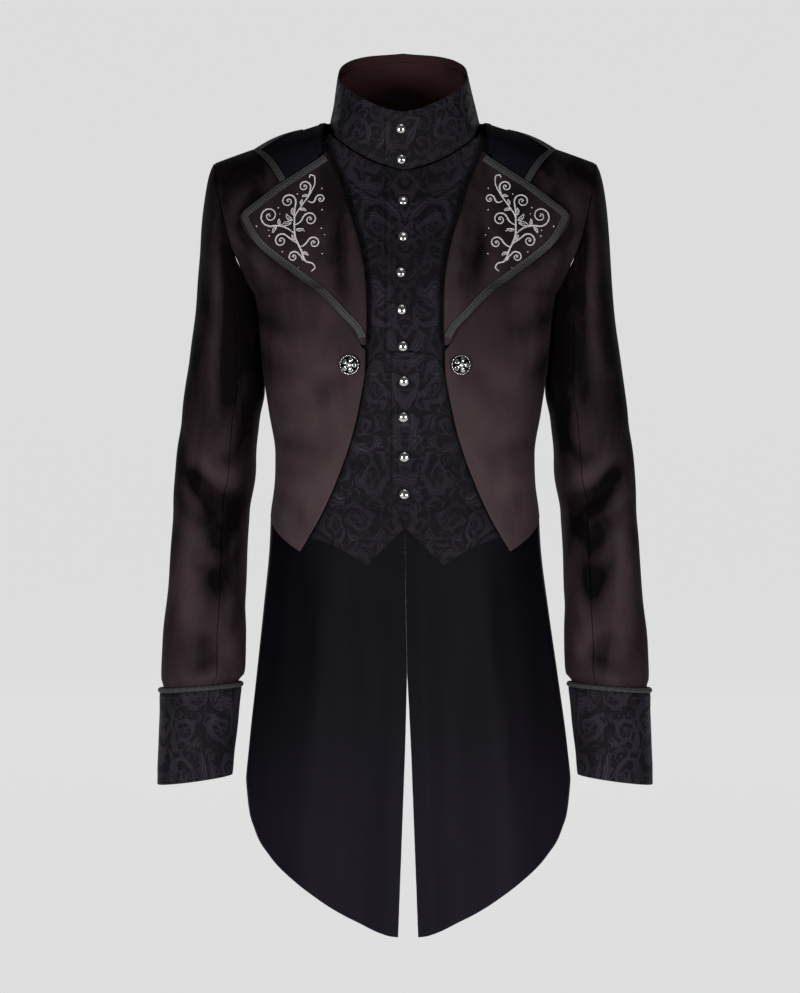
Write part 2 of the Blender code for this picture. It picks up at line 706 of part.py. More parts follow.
def collar_points(angles, heights, out=0.0):
    """The stand collar's face at each angle and share of its height, moved out by a distance."""
    base = collar_base(angles)
    rim = collar_rim(angles)
    share = np.asarray(heights, float)[:, None, None]
    points = base[None] + (rim - base)[None] * share
    turn = np.radians(np.asarray(angles, float))
    away = np.stack([np.sin(turn), -np.cos(turn), np.zeros(len(turn))], axis=-1)
    away = np.broadcast_to(away[None], points.shape)
    return points + away * np.asarray(out)[..., None], away


def overlap_rise(x):
    """The wearer's left side lies over the right one, so it rises near its front edge."""
    return OVERLAP_RISE * (1 - ease(x, 7.0, 27.0))


def stand_collar(collection):
    """One strip round the neck whose left end laps over the right one at the throat."""
    angles = np.array(COLLAR_ANGLES)
    out = np.where(angles < 90, overlap_rise(NECK_X * np.sin(np.radians(angles))), 0.0)
    heights = (0.02, 0.34, 0.67, 1.0)
    points, away = collar_points(angles, heights, np.broadcast_to(out, (len(heights), len(angles))))
    cloth("stand_collar", points, COLLAR_WALL, "brocade", collection, away)


def stand_collar_facing(collection):
    """The velvet facing that shows inside the stand collar, below its turned-in rim."""
    angles = np.array(COLLAR_ANGLES[3:-2])
    heights = (0.06, 0.34, 0.67, 0.87)
    out = np.where(angles < 90, overlap_rise(NECK_X * np.sin(np.radians(angles))), 0.0)
    inside = np.broadcast_to(out - COLLAR_WALL - 2 * GAP, (len(heights), len(angles)))
    points, away = collar_points(angles, heights, inside)
    cloth("stand_collar_facing", points, LINING_WALL, "wine_facing", collection, away)


def vest_depth(across):
    """How far the waistcoat's outer face lies inside the coat's."""
    side = ease(np.abs(across), 0.45, 0.95)
    return VEST_MIDDLE_DEPTH + (VEST_SIDE_DEPTH - VEST_MIDDLE_DEPTH) * side


def panel_top_z(x):
    top = table(PANEL_TOP_COLUMNS, PANEL_TOP_ROWS)
    return np.interp(np.abs(x), top["x"], top["z"])


def side_columns(x, down):
    """Places across the waistcoat's outer part, which its upper and lower front share."""
    return np.linspace(across_of(x, down), SIDE_EDGE, 5)[1:]


def waistcoat(name, closing_x, side, rise, collection):
    """An upper front of the mock waistcoat, from its closing edge to the armhole and side seam."""
    neck = table(NECKLINE_COLUMNS, NECKLINE_ROWS)
    laps = side > 0
    near = (-8.0, 8.0) if laps else (4.0, 14.0)
    xs = np.array([closing_x, *near, 28.0, 52.0, 72.0, 84.0])
    zs = smooth(neck["x"], neck["z"])(np.abs(xs)) - GAP
    top = edge_in_view(xs, zs)
    shoulder = np.linspace(across_of(NECK_X, GAP), SIDE_EDGE, 4)
    top = np.concatenate([top, np.stack([shoulder, np.full(4, 2.0)], axis=-1)])
    low_xs = np.array([closing_x, *near, 24.0, 33.0, 43.0, 62.0])
    tucked = 10.0 * (ease(low_xs, 8.0, 16.0) if laps else np.ones(len(low_xs))) - (1.5 if laps else 0.0)
    low = edge_in_view(low_xs, panel_top_z(low_xs) - tucked)
    outer = side_columns(PANEL_SIDE_X, low[-1, 1])
    outer_down = np.interp(outer, (low[-1, 0], SIDE_EDGE), (low[-1, 1], PANEL_SIDE_DOWN + 10.0))
    bottom = np.concatenate([low, np.stack([outer, outer_down], axis=-1)])
    rows = 12
    t = np.linspace(0, 1, rows)
    left = edge_in_view(np.full(rows, closing_x), top_to_bottom(zs[0], panel_top_z(closing_x) - tucked[0], t))
    right = np.stack([np.full(rows, SIDE_EDGE), top_to_bottom(top[-1, 1], bottom[-1, 1], t)], axis=-1)
    across, down = patch(top, bottom, left, right)
    normals = form_normal(across, down)
    points = on_form(across, down, -vest_depth(across))
    points = points + normals * (rise(points[..., 0]))[..., None]
    if side < 0:
        points, normals = mirrored(points), mirrored(normals)
    cloth(name, points, BROCADE_WALL, "brocade", collection, normals)


def top_to_bottom(start, end, t):
    return start + (end - start) * t


def waist_panel(name, closing_x, end_x, side, rise, collection):
    """The lower front of the mock waistcoat: rounded at the top, with a pointed hem."""
    hem = table(PANEL_HEM_COLUMNS, PANEL_HEM_ROWS)
    top_xs = np.array([closing_x, 6.0, 18.0, 28.0, 35.0, 41.0, PANEL_SIDE_X])
    low_xs = np.array([end_x, 7.0, 20.0, 34.0, 46.0, 62.0, 84.0])
    upper = edge_in_view(top_xs, panel_top_z(top_xs))
    outer = side_columns(PANEL_SIDE_X, upper[-1, 1])
    outer_down = np.interp(outer, (upper[-1, 0], SIDE_EDGE), (upper[-1, 1], PANEL_SIDE_DOWN))
    top = np.concatenate([upper, np.stack([outer, outer_down], axis=-1)])
    lower = edge_in_view(low_xs, np.interp(np.abs(low_xs), hem["x"], hem["z"]))
    side_down = down_of(hem["x"][-1], hem["z"][-1])
    low_across = np.linspace(lower[-1, 0], SIDE_EDGE, 5)[1:]
    low_down = np.interp(low_across, (lower[-1, 0], SIDE_EDGE), (lower[-1, 1], side_down))
    bottom = np.concatenate([lower, np.stack([low_across, low_down], axis=-1)])
    rows = 9
    t = np.linspace(0, 1, rows)
    left_x = closing_x + (end_x - closing_x) * ease(t, 0.8, 1.0)
    left = edge_in_view(left_x, top_to_bottom(panel_top_z(closing_x), hem["z"][0], t))
    left[-1] = bottom[0]
    right = np.stack([np.full(rows, SIDE_EDGE), top_to_bottom(top[-1, 1], bottom[-1, 1], t)], axis=-1)
    across, down = patch(top, bottom, left, right)
    normals = form_normal(across, down)
    points = on_form(across, down, WAIST_PANEL_RISE - vest_depth(across))
    points = points + normals * (rise(points[..., 0]))[..., None]
    if side < 0:
        points, normals = mirrored(points), mirrored(normals)
    cloth(name, points, BROCADE_WALL, "brocade", collection, normals)


def level_rise(x):
    return np.zeros(np.shape(x))


def fall_collar_rows():
    """Inner and outer edge of the fall collar, from the centre back to its front end at the gorge."""
    steps = np.array([0.0, 0.11, 0.22, 0.32, 0.42, 0.5, 0.58, 0.64, 0.7, 0.77, 0.84, 0.9, 0.95, 1.0])
    fall = smooth_table(FALL_COLUMNS, FALL_ROWS)
    last_part = FALL_ROWS[-1][0]
    gorge = table(GORGE_COLUMNS, GORGE_ROWS)
    seam_z = np.interp((FALL_FRONT_X, NOTCH_X), gorge["x"], gorge["z"]) + 2 * GAP
    behind = np.stack([across_of(fall["x"](steps), fall["down"](steps)), fall["down"](steps)], axis=-1)
    ends = edge_in_view((FALL_CORNER[0], NOTCH_X), (FALL_CORNER[1], seam_z[1]))
    crossing = behind[-1]
    parts = (last_part, FALL_CORNER_PART, 1.0)
    corners = np.array([crossing, *ends])
    ahead = np.stack([np.interp(steps, parts, corners[:, i]) for i in (0, 1)], axis=-1)
    outer = np.where((steps <= last_part)[:, None], behind, ahead)
    turn = np.radians(180 - 90 * np.clip(steps / SHOULDER_PART, 0, 1))
    x = NECK_X * np.sin(turn)
    neck = np.stack([across_of(x, back_neck_down(x)), back_neck_down(x)], axis=-1)
    front_z = np.interp(steps, (SHOULDER_PART, 1.0), (NECKLINE_ROWS[-1][1] - 1.0, seam_z[0]))
    front = edge_in_view(np.full(len(steps), FALL_FRONT_X), front_z)
    inner = np.where((steps <= SHOULDER_PART)[:, None], neck, front)
    return steps, inner, outer


def fall_collar(collection):
    """The upper collar: it rises beside the stand collar, folds over and lies on the shoulders."""
    steps, inner, outer = fall_collar_rows()
    normal = form_normal(inner[:, 0], inner[:, 1])
    foot = form_point(inner[:, 0], inner[:, 1])
    from_neck = foot * np.array([1.0, 1.0, 0.0])
    from_neck /= np.linalg.norm(from_neck, axis=1, keepdims=True)
    front = ease(steps, SHOULDER_PART, 1.0)[:, None]
    up = np.array([[0.0, 0.0, 1.0]]) * (1 - front) + normal * front
    up /= np.linalg.norm(up, axis=1, keepdims=True)
    high = FALL_BACK_HIGH + (FALL_SIDE_HIGH - FALL_BACK_HIGH) * ease(steps, 0.1, SHOULDER_PART)
    columns = []
    for out, rise in ((2.6, 0.35), (3.2, 0.9), (6.5, 1.05)):
        columns.append(foot + from_neck * out + up * (high * rise)[:, None])
    for share in (0.15, 0.32, 0.5, 0.67, 0.84, 1.0):
        place = inner + (outer - inner) * share
        height = FALL_LIES + (high - 3.0) * (1 - share) ** 2.5
        columns.append(on_form(place[:, 0], place[:, 1], height))
    half = np.stack(columns, axis=1)
    outward = np.repeat(normal[:, None], half.shape[1], axis=1)
    whole = np.concatenate([mirrored(half)[:0:-1], half])
    facing = np.concatenate([mirrored(outward)[:0:-1], outward])
    cloth("collar_fall", whole, LAPEL_WALL, "fall_velvet", collection, facing)


def collar_braid(collection):
    """Flat braid on the fall collar along its free edge."""
    steps, inner, outer = fall_collar_rows()
    height = FALL_LIES + BRAID_WALL + 3 * GAP
    span = np.linalg.norm(form_point(*outer.T) - form_point(*inner.T), axis=1)[:, None]
    far = outer + (inner - outer) * BRAID_INSET / span
    near = far + (inner - outer) * BRAID_WIDTH / span
    grid = np.stack([far, near], axis=1)
    half = on_form(grid[..., 0], grid[..., 1], height)
    outward = form_normal(grid[..., 0], grid[..., 1])
    whole = np.concatenate([mirrored(half)[:0:-1], half])
    facing = np.concatenate([mirrored(outward)[:0:-1], outward])
    cloth("collar_braid", whole, BRAID_WALL, "braid", collection, facing)


def armhole_down(angle):
    """The row of the form at each angle round the armhole: 0 is the shoulder point and 90 the front."""
    turn = np.asarray(angle, float) % 360
    front = turn <= 180
    return np.where(front, turn, turn - 360) / 180 * ARMHOLE_END


def armhole(angle):
    """The armhole's seam, as the sleeve meets it."""
    down = armhole_down(angle)
    return form_point(np.ones(np.shape(down)), down) + np.array([SLEEVE_CLEARANCE, 0.0, 0.0])


def fold_depth(angle, z):
    """How far the large folds press the sleeve in."""
    depth = np.zeros(np.broadcast(angle, z).shape)
    for row in FOLD_ROWS:
        fold = dict(zip(FOLD_COLUMNS, row))
        turn = (angle - fold["angle"] + 180) % 360 - 180
        level = z - fold["z"] + fold["fall"] * turn * 0.6
        depth = depth + fold["depth"] * np.exp(-((level / fold["spread"]) ** 2) - (turn / fold["reach"]) ** 2)
    return depth


def sleeve_section(angle, z):
    """A sleeve's face below the armhole."""
    turn = np.radians(angle)
    outer, inner = SLEEVE["outer_x"](z), SLEEVE["inner_x"](z)
    pressed = fold_depth(angle, z)
    half = (outer - inner) / 2
    near_body = 0.5 * (1 - np.cos(turn)) * ease(z, -420, -330)
    half_x = half - pressed * (1 - near_body)
    x = (outer + inner) / 2 + half_x * np.cos(turn)
    y = SLEEVE["mid_y"](z) - (SLEEVE["half_depth"](z) - pressed) * np.sin(turn)
    level = z - SLEEVE["tilt"](z) * np.cos(turn) / 2
    return np.stack([x, y, level], axis=-1)


def sleeve_head(angle, part):
    """The sleeve between the armhole's seam and its first full section."""
    turn = np.radians(angle)
    start = armhole(angle)
    end = sleeve_section(angle, np.full(np.shape(angle), SLEEVE_TOP_Z))
    ahead = (end - sleeve_section(angle, np.full(np.shape(angle), SLEEVE_TOP_Z - 6.0))) / -6.0
    span = np.linalg.norm(end - start, axis=-1, keepdims=True)
    side = np.cos(turn)[..., None]
    out = np.concatenate([
        0.13 + 0.14 * side,
        -0.22 * np.sin(turn)[..., None],
        -0.62 + 0.25 * side,
    ], axis=-1)
    leave = out * span
    arrive = ahead * span * np.where(ahead[..., 2:] > 0, -0.93, 0.93)
    u = part
    return (
        (2 * u**3 - 3 * u**2 + 1) * start
        + (u**3 - 2 * u**2 + u) * leave
        + (3 * u**2 - 2 * u**3) * end
        + (u**3 - u**2) * arrive
    )


def sleeve_grid(angles):
    """A stretch of the sleeve from the armhole to its end inside the cuff."""
    angles = np.asarray(angles, float)
    rows = [sleeve_head(angles, part) for part in (0.0, 0.09, 0.2, 0.35, 0.52, 0.7, 0.86)]
    levels = np.concatenate([
        np.linspace(SLEEVE_TOP_Z, -630.0, 17),
        [-648.0, -657.0, -664.0, -676.0, -720.0, SLEEVE_END_Z],
    ])
    rows += [sleeve_section(angles, np.full(len(angles), z)) for z in levels]
    return np.array(rows)


def sleeve_normals(angles):
    """The sleeve's outward directions; at the armhole its wall follows the coat's."""
    angles = np.asarray(angles, float)
    around = sleeve_grid(angles + 1.5) - sleeve_grid(angles - 1.5)
    along = np.gradient(sleeve_grid(angles), axis=0)
    normals = np.cross(around, along)
    normals /= np.linalg.norm(normals, axis=-1, keepdims=True)
    down = armhole_down(angles)
    coat = form_normal(np.ones(len(down)), down)
    turn = np.abs((angles + 180) % 360 - 180)
    share = (1 - ease(turn, 85, 125))[:, None]
    normals[0] = normals[0] * (1 - share) + coat * share
    normals[0] /= np.linalg.norm(normals[0], axis=-1, keepdims=True)
    return normals


def tube_outward(points, angles):
    turn = np.radians(np.asarray(angles, float))
    away = np.stack([np.cos(turn), -np.sin(turn), np.zeros(len(turn))], axis=-1)
    return np.broadcast_to(away[None], points.shape)


def sleeves(collection):
    """Two-piece sleeves: the top sleeve goes round the outside, the under sleeve faces the body."""
    step = 180 / ARMHOLE_ROWS
    seam_steps, seam = 5, 0.35
    top_angles = np.arange(-seam_steps, seam_steps + 1) * step
    under_angles = np.arange(seam_steps, 2 * ARMHOLE_ROWS - seam_steps + 1) * step
    for name, angles in (("sleeve_top", top_angles), ("sleeve_under", under_angles)):
        angles = angles.astype(float)
        angles[0] += seam
        angles[-1] -= seam
        points = sleeve_grid(angles)
        pair(name, points, VELVET_WALL, "velvet", collection, sleeve_normals(angles))


def cuff_ring(part, angles, inset=0.0):
    turn = np.radians(angles)
    half = (CUFF["outer_x"](part) - CUFF["inner_x"](part)) / 2 - inset
    x = (CUFF["outer_x"](part) + CUFF["inner_x"](part)) / 2 + half * np.cos(turn)
    y = CUFF["mid_y"](part) - (CUFF["half_depth"](part) - inset) * np.sin(turn)
    z = CUFF["z"](part) - CUFF["tilt"](part) * np.cos(turn) / 2
    return np.stack([x, y, z], axis=-1)


def cuffs(collection):
    """Turned-back cuffs: a brocade band round the end of each sleeve with a corded upper edge."""
    around = 20
    angles = np.linspace(0, 360, around, endpoint=False)
    parts = (0.0, 0.33, 0.67, 1.0)
    points = np.array([cuff_ring(part, angles) for part in parts])
    pair("cuff", points, CUFF_WALL, "brocade", collection, tube_outward(points, angles), closed=True)
    middle = cuff_ring(0.0, angles, CUFF_WALL / 2)
    middle[:, 2] += CUFF_ROLL_RADIUS + GAP
    for side, place in (("left", middle), ("right", mirrored(middle))):
        cord_ring("cuff_roll_" + side, place, CUFF_ROLL_RADIUS, "brocade", collection)


def cord_ring(name, centres, radius, finish, collection):
    """A closed cord along a ring of points, made as a bevelled curve."""
    curve = bpy.data.curves.new(name, "CURVE")
    curve.dimensions = "3D"
    curve.bevel_depth = radius * TO_METRES
    curve.bevel_resolution = 1
    spline = curve.splines.new("POLY")
    spline.points.add(len(centres) - 1)
    for point, centre in zip(spline.points, centres):
        point.co = (*(centre * TO_METRES), 1.0)
    spline.use_cyclic_u = True
    curve.materials.append(material(finish).copy())
    piece = bpy.data.objects.new(name, curve)
    collection.objects.link(piece)
    return piece


def tail_point(across, z):
    """A point of a tail's outer face: across 0 is the centre back and 1 the side edge."""
    square, reach = TAIL["square"](z), TAIL["reach"](z)
    end_angle = np.arcsin(np.clip(reach ** (square / 2), 0, 1))
    angle = across * end_angle
    ratio = np.clip(np.sin(angle), 0, 1) ** (2 / square) / reach
    depth = 1 - np.clip(np.cos(angle), 0, 1) ** (2 / square)
    end_depth = 1 - np.clip(np.cos(end_angle), 0, 1) ** (2 / square)
    vent = VENT_HALF_GAP * np.clip((VENT_TOP_Z - z) / (VENT_TOP_Z - TAIL_TIP_Z), 0, 1) + 0.6 * GAP
    x = vent + (TAIL["side_x"](z) - vent) * ratio
    y = TAIL["mid_y"](z) - (TAIL["mid_y"](z) - TAIL["side_y"](z)) * depth / end_depth
    wave = np.sin(TAIL_WAVE_START + TAIL_WAVE_TURNS * ratio**TAIL_WAVE_POWER)
    y = y + TAIL["fold"](z) * wave * ease(ratio, 0.0, 0.12)
    return np.stack([x, y, z + np.zeros(np.shape(across))], axis=-1)


def tail_grid(columns, rows):
    """Places on a tail, evenly across it and from the waist join to the curved hem."""
    across = np.linspace(0, 1, columns)
    top = WAIST_JOIN_Z - 1.1 - 2.0 * (1 - across**2)
    low = TAIL_HEM["z"](across)
    t = np.linspace(0, 1, rows)[:, None]
    levels = top[None] + (low - top)[None] * t
    return np.broadcast_to(across[None], levels.shape), levels


def tail_normals(across, z):
    step = 0.01
    low = tail_point(np.clip(across - step, 0, 1), z)
    high = tail_point(np.clip(across + step, 0, 1), z)
    above = tail_point(across, z + 1.0)
    below = tail_point(across, z - 1.0)
    normal = np.cross(high - low, below - above)
    normal /= np.linalg.norm(normal, axis=-1, keepdims=True)
    return normal * np.where(normal[..., 1:2] < 0, -1.0, 1.0)


def tails(collection):
    """Long tails hung from the waist join: velvet outside and a satin lining inside."""
    across, z = tail_grid(11, 14)
    points = tail_point(across, z)
    normals = tail_normals(across, z)
    inside = points - normals * (VELVET_WALL + GAP)
    swing = np.zeros(points.shape)
    swing[..., 0] = TAIL_SWING * ease(-z, -WAIST_JOIN_Z, -TAIL_HEM_ROWS[-1][1])
    for name, grid, wall, finish in (
        ("tail", points, VELVET_WALL, "velvet"),
        ("tail_lining", inside, LINING_WALL, "satin"),
    ):
        cloth(name + "_left", grid + swing, wall, finish, collection, normals)
        cloth(name + "_right", mirrored(grid) + swing, wall, finish, collection, mirrored(normals))


def turned(name, profile, sides, place, facing, finish, collection):
    """A turned piece: its profile runs from the axis out and back, and a Screw turns it."""
    mesh = bpy.data.meshes.new(name)
    points = [(radius * TO_METRES, 0.0, height * TO_METRES) for radius, height in profile]
    mesh.from_pydata(points, [(i, i + 1) for i in range(len(points) - 1)], [])
    piece = add_object(name, mesh, finish, collection)
    screw = piece.modifiers.new("turn", "SCREW")
    screw.steps = screw.render_steps = sides
    screw.use_merge_vertices = True
    screw.merge_threshold = 0.00001
    screw.use_smooth_shade = True
    turn = Vector(facing).to_track_quat("Z", "Y").to_matrix().to_4x4()
    piece.matrix_world = Matrix.Translation(Vector(place) * TO_METRES) @ turn
    return piece


def small_button_profile(radius):
    """A smooth dome on a short shank, from the top of the dome down."""
    shank, foot, rim, height = 2.0, 0.6, 1.6, 5.8
    dome = [
        (radius * math.sin(a), rim + 0.5 + (height - rim - 0.5) * math.cos(a))
        for a in np.radians((0, 34, 66, 90))
    ]
    return [*dome, (radius * 0.86, rim), (shank, rim), (shank, foot), (0.0, foot)]


def large_button_profile(radius):
    """A low domed button with a raised rim on a shank."""
    shank, foot, under = 3.4, 0.6, 2.4
    return [
        (0.0, 6.4),
        (radius * 0.45, 6.0),
        (radius * 0.8, 4.9),
        (radius * 0.86, 5.2),
        (radius * 0.97, 4.8),
        (radius, 3.4),
        (radius * 0.9, under),
        (shank, under),
        (shank, foot),
        (0.0, foot),
    ]


def buttons(collection):
    """Eleven domed buttons up the closing and one large button on each front."""
    for i, (x, z) in enumerate(SMALL_BUTTON_ROWS):
        if i < COLLAR_BUTTONS:
            place, facing = collar_spot(x, z)
        else:
            across, down = form_place(np.array([x]), np.array([z]))
            rise = overlap_rise(x) - vest_depth(across)
            if i >= FIRST_WAIST_BUTTON:
                rise = rise + WAIST_PANEL_RISE
            place = on_form(across, down, rise)[0]
            facing = form_normal(across, down)[0]
        name = f"button_{i + 1:02d}"
        turned(name, small_button_profile(SMALL_BUTTON_RADIUS), 8, place, facing, "silver", collection)
    for name, side in (("left", 1), ("right", -1)):
        across, down = form_place(np.array([LARGE_BUTTON_X]), np.array([LARGE_BUTTON_Z]))
        place = on_form(across, down)[0] * (side, 1, 1)
        facing = form_normal(across, down)[0] * (side, 1, 1)
        profile = large_button_profile(LARGE_BUTTON_RADIUS)
        turned("front_button_" + name, profile, 12, place, facing, "silver", collection)


def collar_spot(x, z):
    """A place on the stand collar's lapped front, with the way it faces."""
    turn = math.asin(x / RIM_HALF_WIDTH)
    base, rim = collar_base([math.degrees(turn)])[0], collar_rim([math.degrees(turn)])[0]
    share = (z - base[2]) / (rim[2] - base[2])
    out = overlap_rise(x) - COLLAR_BUTTON_SINK
    away = np.array([math.sin(turn), -math.cos(turn), 0.0])
    climb = rim - base
    facing = away - climb * float(away @ climb) / float(climb @ climb)
    return base + climb * share + away * out, facing / np.linalg.norm(facing)


def clear_scene():
    for found in list(bpy.data.objects):
        bpy.data.objects.remove(found, do_unlink=True)


def build():
    clear_scene()
    collection = bpy.data.collections.new(COLLECTION)
    bpy.context.scene.collection.children.link(collection)
    coat_front(collection)
    coat_back(collection)
    tails(collection)
    lapel(collection)
    lapel_braid(collection)
    fall_collar(collection)
    collar_braid(collection)
    stand_collar(collection)
    stand_collar_facing(collection)
    waistcoat("waistcoat_left", -23.0, 1, overlap_rise, collection)
    waistcoat("waistcoat_right", -4.0, -1, level_rise, collection)
    waist_panel("waist_panel_left", -16.0, -1.5, 1, overlap_rise, collection)
    waist_panel("waist_panel_right", -4.0, 1.5, -1, level_rise, collection)
    sleeves(collection)
    cuffs(collection)
    buttons(collection)


build()
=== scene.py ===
# %% [markdown]
# # A gothic tailcoat, dressed in its cloth
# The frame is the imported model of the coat: its solids are plain walls of cloth in the worn shape. This
# lesson gives every piece its real finish: crushed velvet, woven brocade, satin lining, corded braid, raised
# embroidery, sewing and silver buttons. Each finer piece follows the same sizes as its solid, so it lies in
# the same place, and it then stands for that solid.

# %% Load the frame
import json
import math

import bpy
import numpy as np
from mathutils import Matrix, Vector

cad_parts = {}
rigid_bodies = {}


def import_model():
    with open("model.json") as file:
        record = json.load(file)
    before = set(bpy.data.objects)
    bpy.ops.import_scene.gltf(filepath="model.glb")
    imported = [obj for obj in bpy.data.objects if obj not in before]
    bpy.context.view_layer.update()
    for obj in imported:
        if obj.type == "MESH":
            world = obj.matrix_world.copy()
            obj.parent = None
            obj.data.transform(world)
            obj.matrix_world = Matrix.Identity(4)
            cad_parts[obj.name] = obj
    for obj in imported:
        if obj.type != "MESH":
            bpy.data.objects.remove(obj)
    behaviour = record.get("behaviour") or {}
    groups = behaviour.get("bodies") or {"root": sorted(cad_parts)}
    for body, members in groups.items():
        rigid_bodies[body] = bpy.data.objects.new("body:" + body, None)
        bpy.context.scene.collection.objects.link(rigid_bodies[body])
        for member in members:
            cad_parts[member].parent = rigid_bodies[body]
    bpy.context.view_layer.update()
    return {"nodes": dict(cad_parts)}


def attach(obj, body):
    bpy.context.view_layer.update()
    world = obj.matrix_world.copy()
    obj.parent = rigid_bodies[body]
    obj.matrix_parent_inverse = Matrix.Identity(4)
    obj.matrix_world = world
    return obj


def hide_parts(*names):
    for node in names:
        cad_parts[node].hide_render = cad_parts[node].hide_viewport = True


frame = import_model()
TO_METRES = 0.001
print("solids in the frame:", len(frame["nodes"]))

# %% [markdown]
# ## The sizes of the coat
# A tailor works from a few measures. These are the coat's own, in millimetres: walls, lengths and short
# tables that say how the form, the edges and the sleeves run. The finer cloth below reads the same tables
# as the solids did, which is what keeps the two together.

# %% Walls, lengths and edges
GAP = 0.3
VELVET_WALL = 1.8
BROCADE_WALL = 1.5
LINING_WALL = 1.0
LAPEL_WALL = 1.5
COLLAR_WALL = 2.0
BRAID_WALL = 1.0
BRAID_WIDTH = 8.0
BRAID_INSET = 1.0
TIP_RADIUS = 9.0
CUFF_WALL = 2.2
WAIST_JOIN_Z = -460.0
FRONT_TIP_Z = -504.5
TAIL_TIP_Z = -981.0
VENT_TOP_Z = -663.0
VENT_HALF_GAP = 12.0
BREAK_Z = -263.0
CLOSED_EDGE_Z = -270.0
LAPEL_TOP_Z = -33.6
LAPEL_ROLL = 5.5
ROLL_TURN = 5.0
ROLL_SPRING = 3.2
ROLL_SPREAD = 24.0
LAYER_GAP = 1.8
VEST_MIDDLE_DEPTH = 9.0
VEST_SIDE_DEPTH = 5.8
WAIST_PANEL_RISE = 3.0
OVERLAP_RISE = 2.5
NECK_X = 91.0
BACK_NECK_DOWN = 50.0
SIDE_END = 470.0
SIDE_ROWS = 18
ARMHOLE_ROWS = 8
ARMHOLE_END = SIDE_END * ARMHOLE_ROWS / SIDE_ROWS
SMALL_BUTTON_RADIUS = 6.2
LARGE_BUTTON_RADIUS = 12.0
FORM_COLUMNS = ("down", "side_x", "side_y", "side_z", "mid_y", "mid_z", "square", "reach", "bow")
FORM_ROWS = (
    (-535, 163.5, 1, -522, 112, -524, 2.3, 1.00, 2.0),
    (-470, 161.0, 1, -460, 99, -462, 2.3, 1.00, 2.0),
    (-435, 156.5, 1, -425, 91, -426, 2.3, 1.00, 2.0),
    (-400, 155.5, 1, -390, 85, -390, 2.3, 1.00, 2.0),
    (-350, 163.0, 1, -340, 89, -340, 2.3, 1.00, 2.0),
    (-300, 170.5, 1, -290, 99, -288, 2.3, 1.00, 2.0),
    (-245, 176.0, 1, -235, 107, -232, 2.3, 1.00, 2.0),
    (-209, 181.0, 1, -203, 110, -194, 2.3, 1.00, 2.0),
    (-192, 187.0, 26, -193, 110, -168, 2.3, 0.98, 2.0),
    (-165, 197.0, 54, -170, 107, -133, 2.2, 0.94, 2.0),
    (-130, 207.5, 69, -142, 102, -85, 2.1, 0.88, 2.0),
    (-90, 216.0, 67, -106, 87, -32, 2.0, 0.86, 1.8),
    (-52, 223.0, 49, -74, 62, 14, 2.0, 0.86, 1.6),
    (-25, 226.5, 26, -50, 33, 15, 2.0, 0.88, 1.6),
    (0, 228.0, 2, -40, 2, 18, 2.0, 0.90, 1.5),
    (25, 226.5, -22, -52, -32, 9, 2.0, 0.88, 1.6),
    (52, 223.0, -44, -76, -55, 0, 2.0, 0.86, 1.6),
    (90, 216.0, -58, -106, -66, -52, 2.0, 0.86, 1.8),
    (130, 207.0, -57, -142, -87, -96, 2.1, 0.88, 2.0),
    (165, 196.0, -44, -168, -104, -136, 2.2, 0.94, 2.0),
    (192, 186.0, -22, -192, -115, -170, 2.3, 0.98, 2.0),
    (209, 181.0, 1, -203, -121, -196, 2.3, 1.00, 2.0),
    (245, 176.0, 1, -235, -125, -235, 2.3, 1.00, 2.0),
    (300, 170.5, 1, -290, -123, -290, 2.3, 1.00, 2.0),
    (350, 163.0, 1, -340, -117, -340, 2.3, 1.00, 2.0),
    (400, 155.5, 1, -390, -111, -390, 2.3, 1.00, 2.0),
    (435, 156.5, 1, -425, -111, -425, 2.3, 1.00, 2.0),
    (470, 161.0, 1, -460, -113, -460, 2.3, 1.00, 2.0),
    (535, 165.0, 1, -525, -118, -525, 2.3, 1.00, 2.0),
)
FRONT_EDGE_COLUMNS = ("z", "x")
FRONT_EDGE_ROWS = (
    (-504.5, 124.8), (-467.5, 102.5), (-416.2, 78.8), (-366.8, 61.7), (-324.0, 52.0), (-294.0, 47.2),
    (-261.6, 46.6), (-238.8, 45.4), (-199.2, 46.0), (-160.8, 50.5), (-134.6, 56.6), (-101.0, 67.4),
    (-68.9, 76.6), (-50.4, 84.2), (-33.6, 91.0), (-10.0, 93.5), (12.0, 93.0),
)
# Rows of x and z:
LAPEL_EDGE_ROWS = (
    (196.0, -107.0), (191.5, -122.0), (176.4, -140.4), (153.6, -160.8), (130.2, -178.8), (99.6, -203.5),
    (74.0, -230.0), (56.5, -250.0), (50.5, -262.0),
)
GORGE_COLUMNS = ("x", "z")
GORGE_ROWS = (
    (91.0, -33.6), (148.0, -70.0), (196.0, -107.0),
)
FALL_COLUMNS = ("part", "x", "down")
FALL_ROWS = (
    (0.0, 0.0, -108.0), (0.22, 46.0, -105.0), (0.42, 87.0, -86.0), (0.58, 114.0, -48.0),
    (0.7, 130.0, -3.0),
)
FALL_CORNER = (179.0, -31.0)
FALL_CORNER_PART = 0.9
NOTCH_X = 148.0
SHOULDER_PART = 0.74
FALL_FRONT_X = 95.0
FALL_LIES = LAPEL_WALL + LAYER_GAP + 3 * GAP
FALL_BACK_HIGH = 14.0
FALL_SIDE_HIGH = 5.0
NECKLINE_COLUMNS = ("x", "z")
NECKLINE_ROWS = (
    (0.0, -52.0), (24.0, -46.5), (52.0, -35.0), (72.0, -21.0), (84.0, -7.0), (91.0, 3.0),
)
RIM_COLUMNS = ("angle", "z")
RIM_ROWS = (
    (0, 15.2), (10, 17.6), (20, 21.8), (30, 27.2), (40, 33.0), (60, 46.0), (75, 53.0), (90, 63.0),
    (105, 76.0), (120, 84.5), (140, 92.0), (180, 98.5),
)
RIM_HALF_WIDTH = 78.0
RIM_HALF_DEPTH = 63.0
RIM_CENTRE_X = -2.5
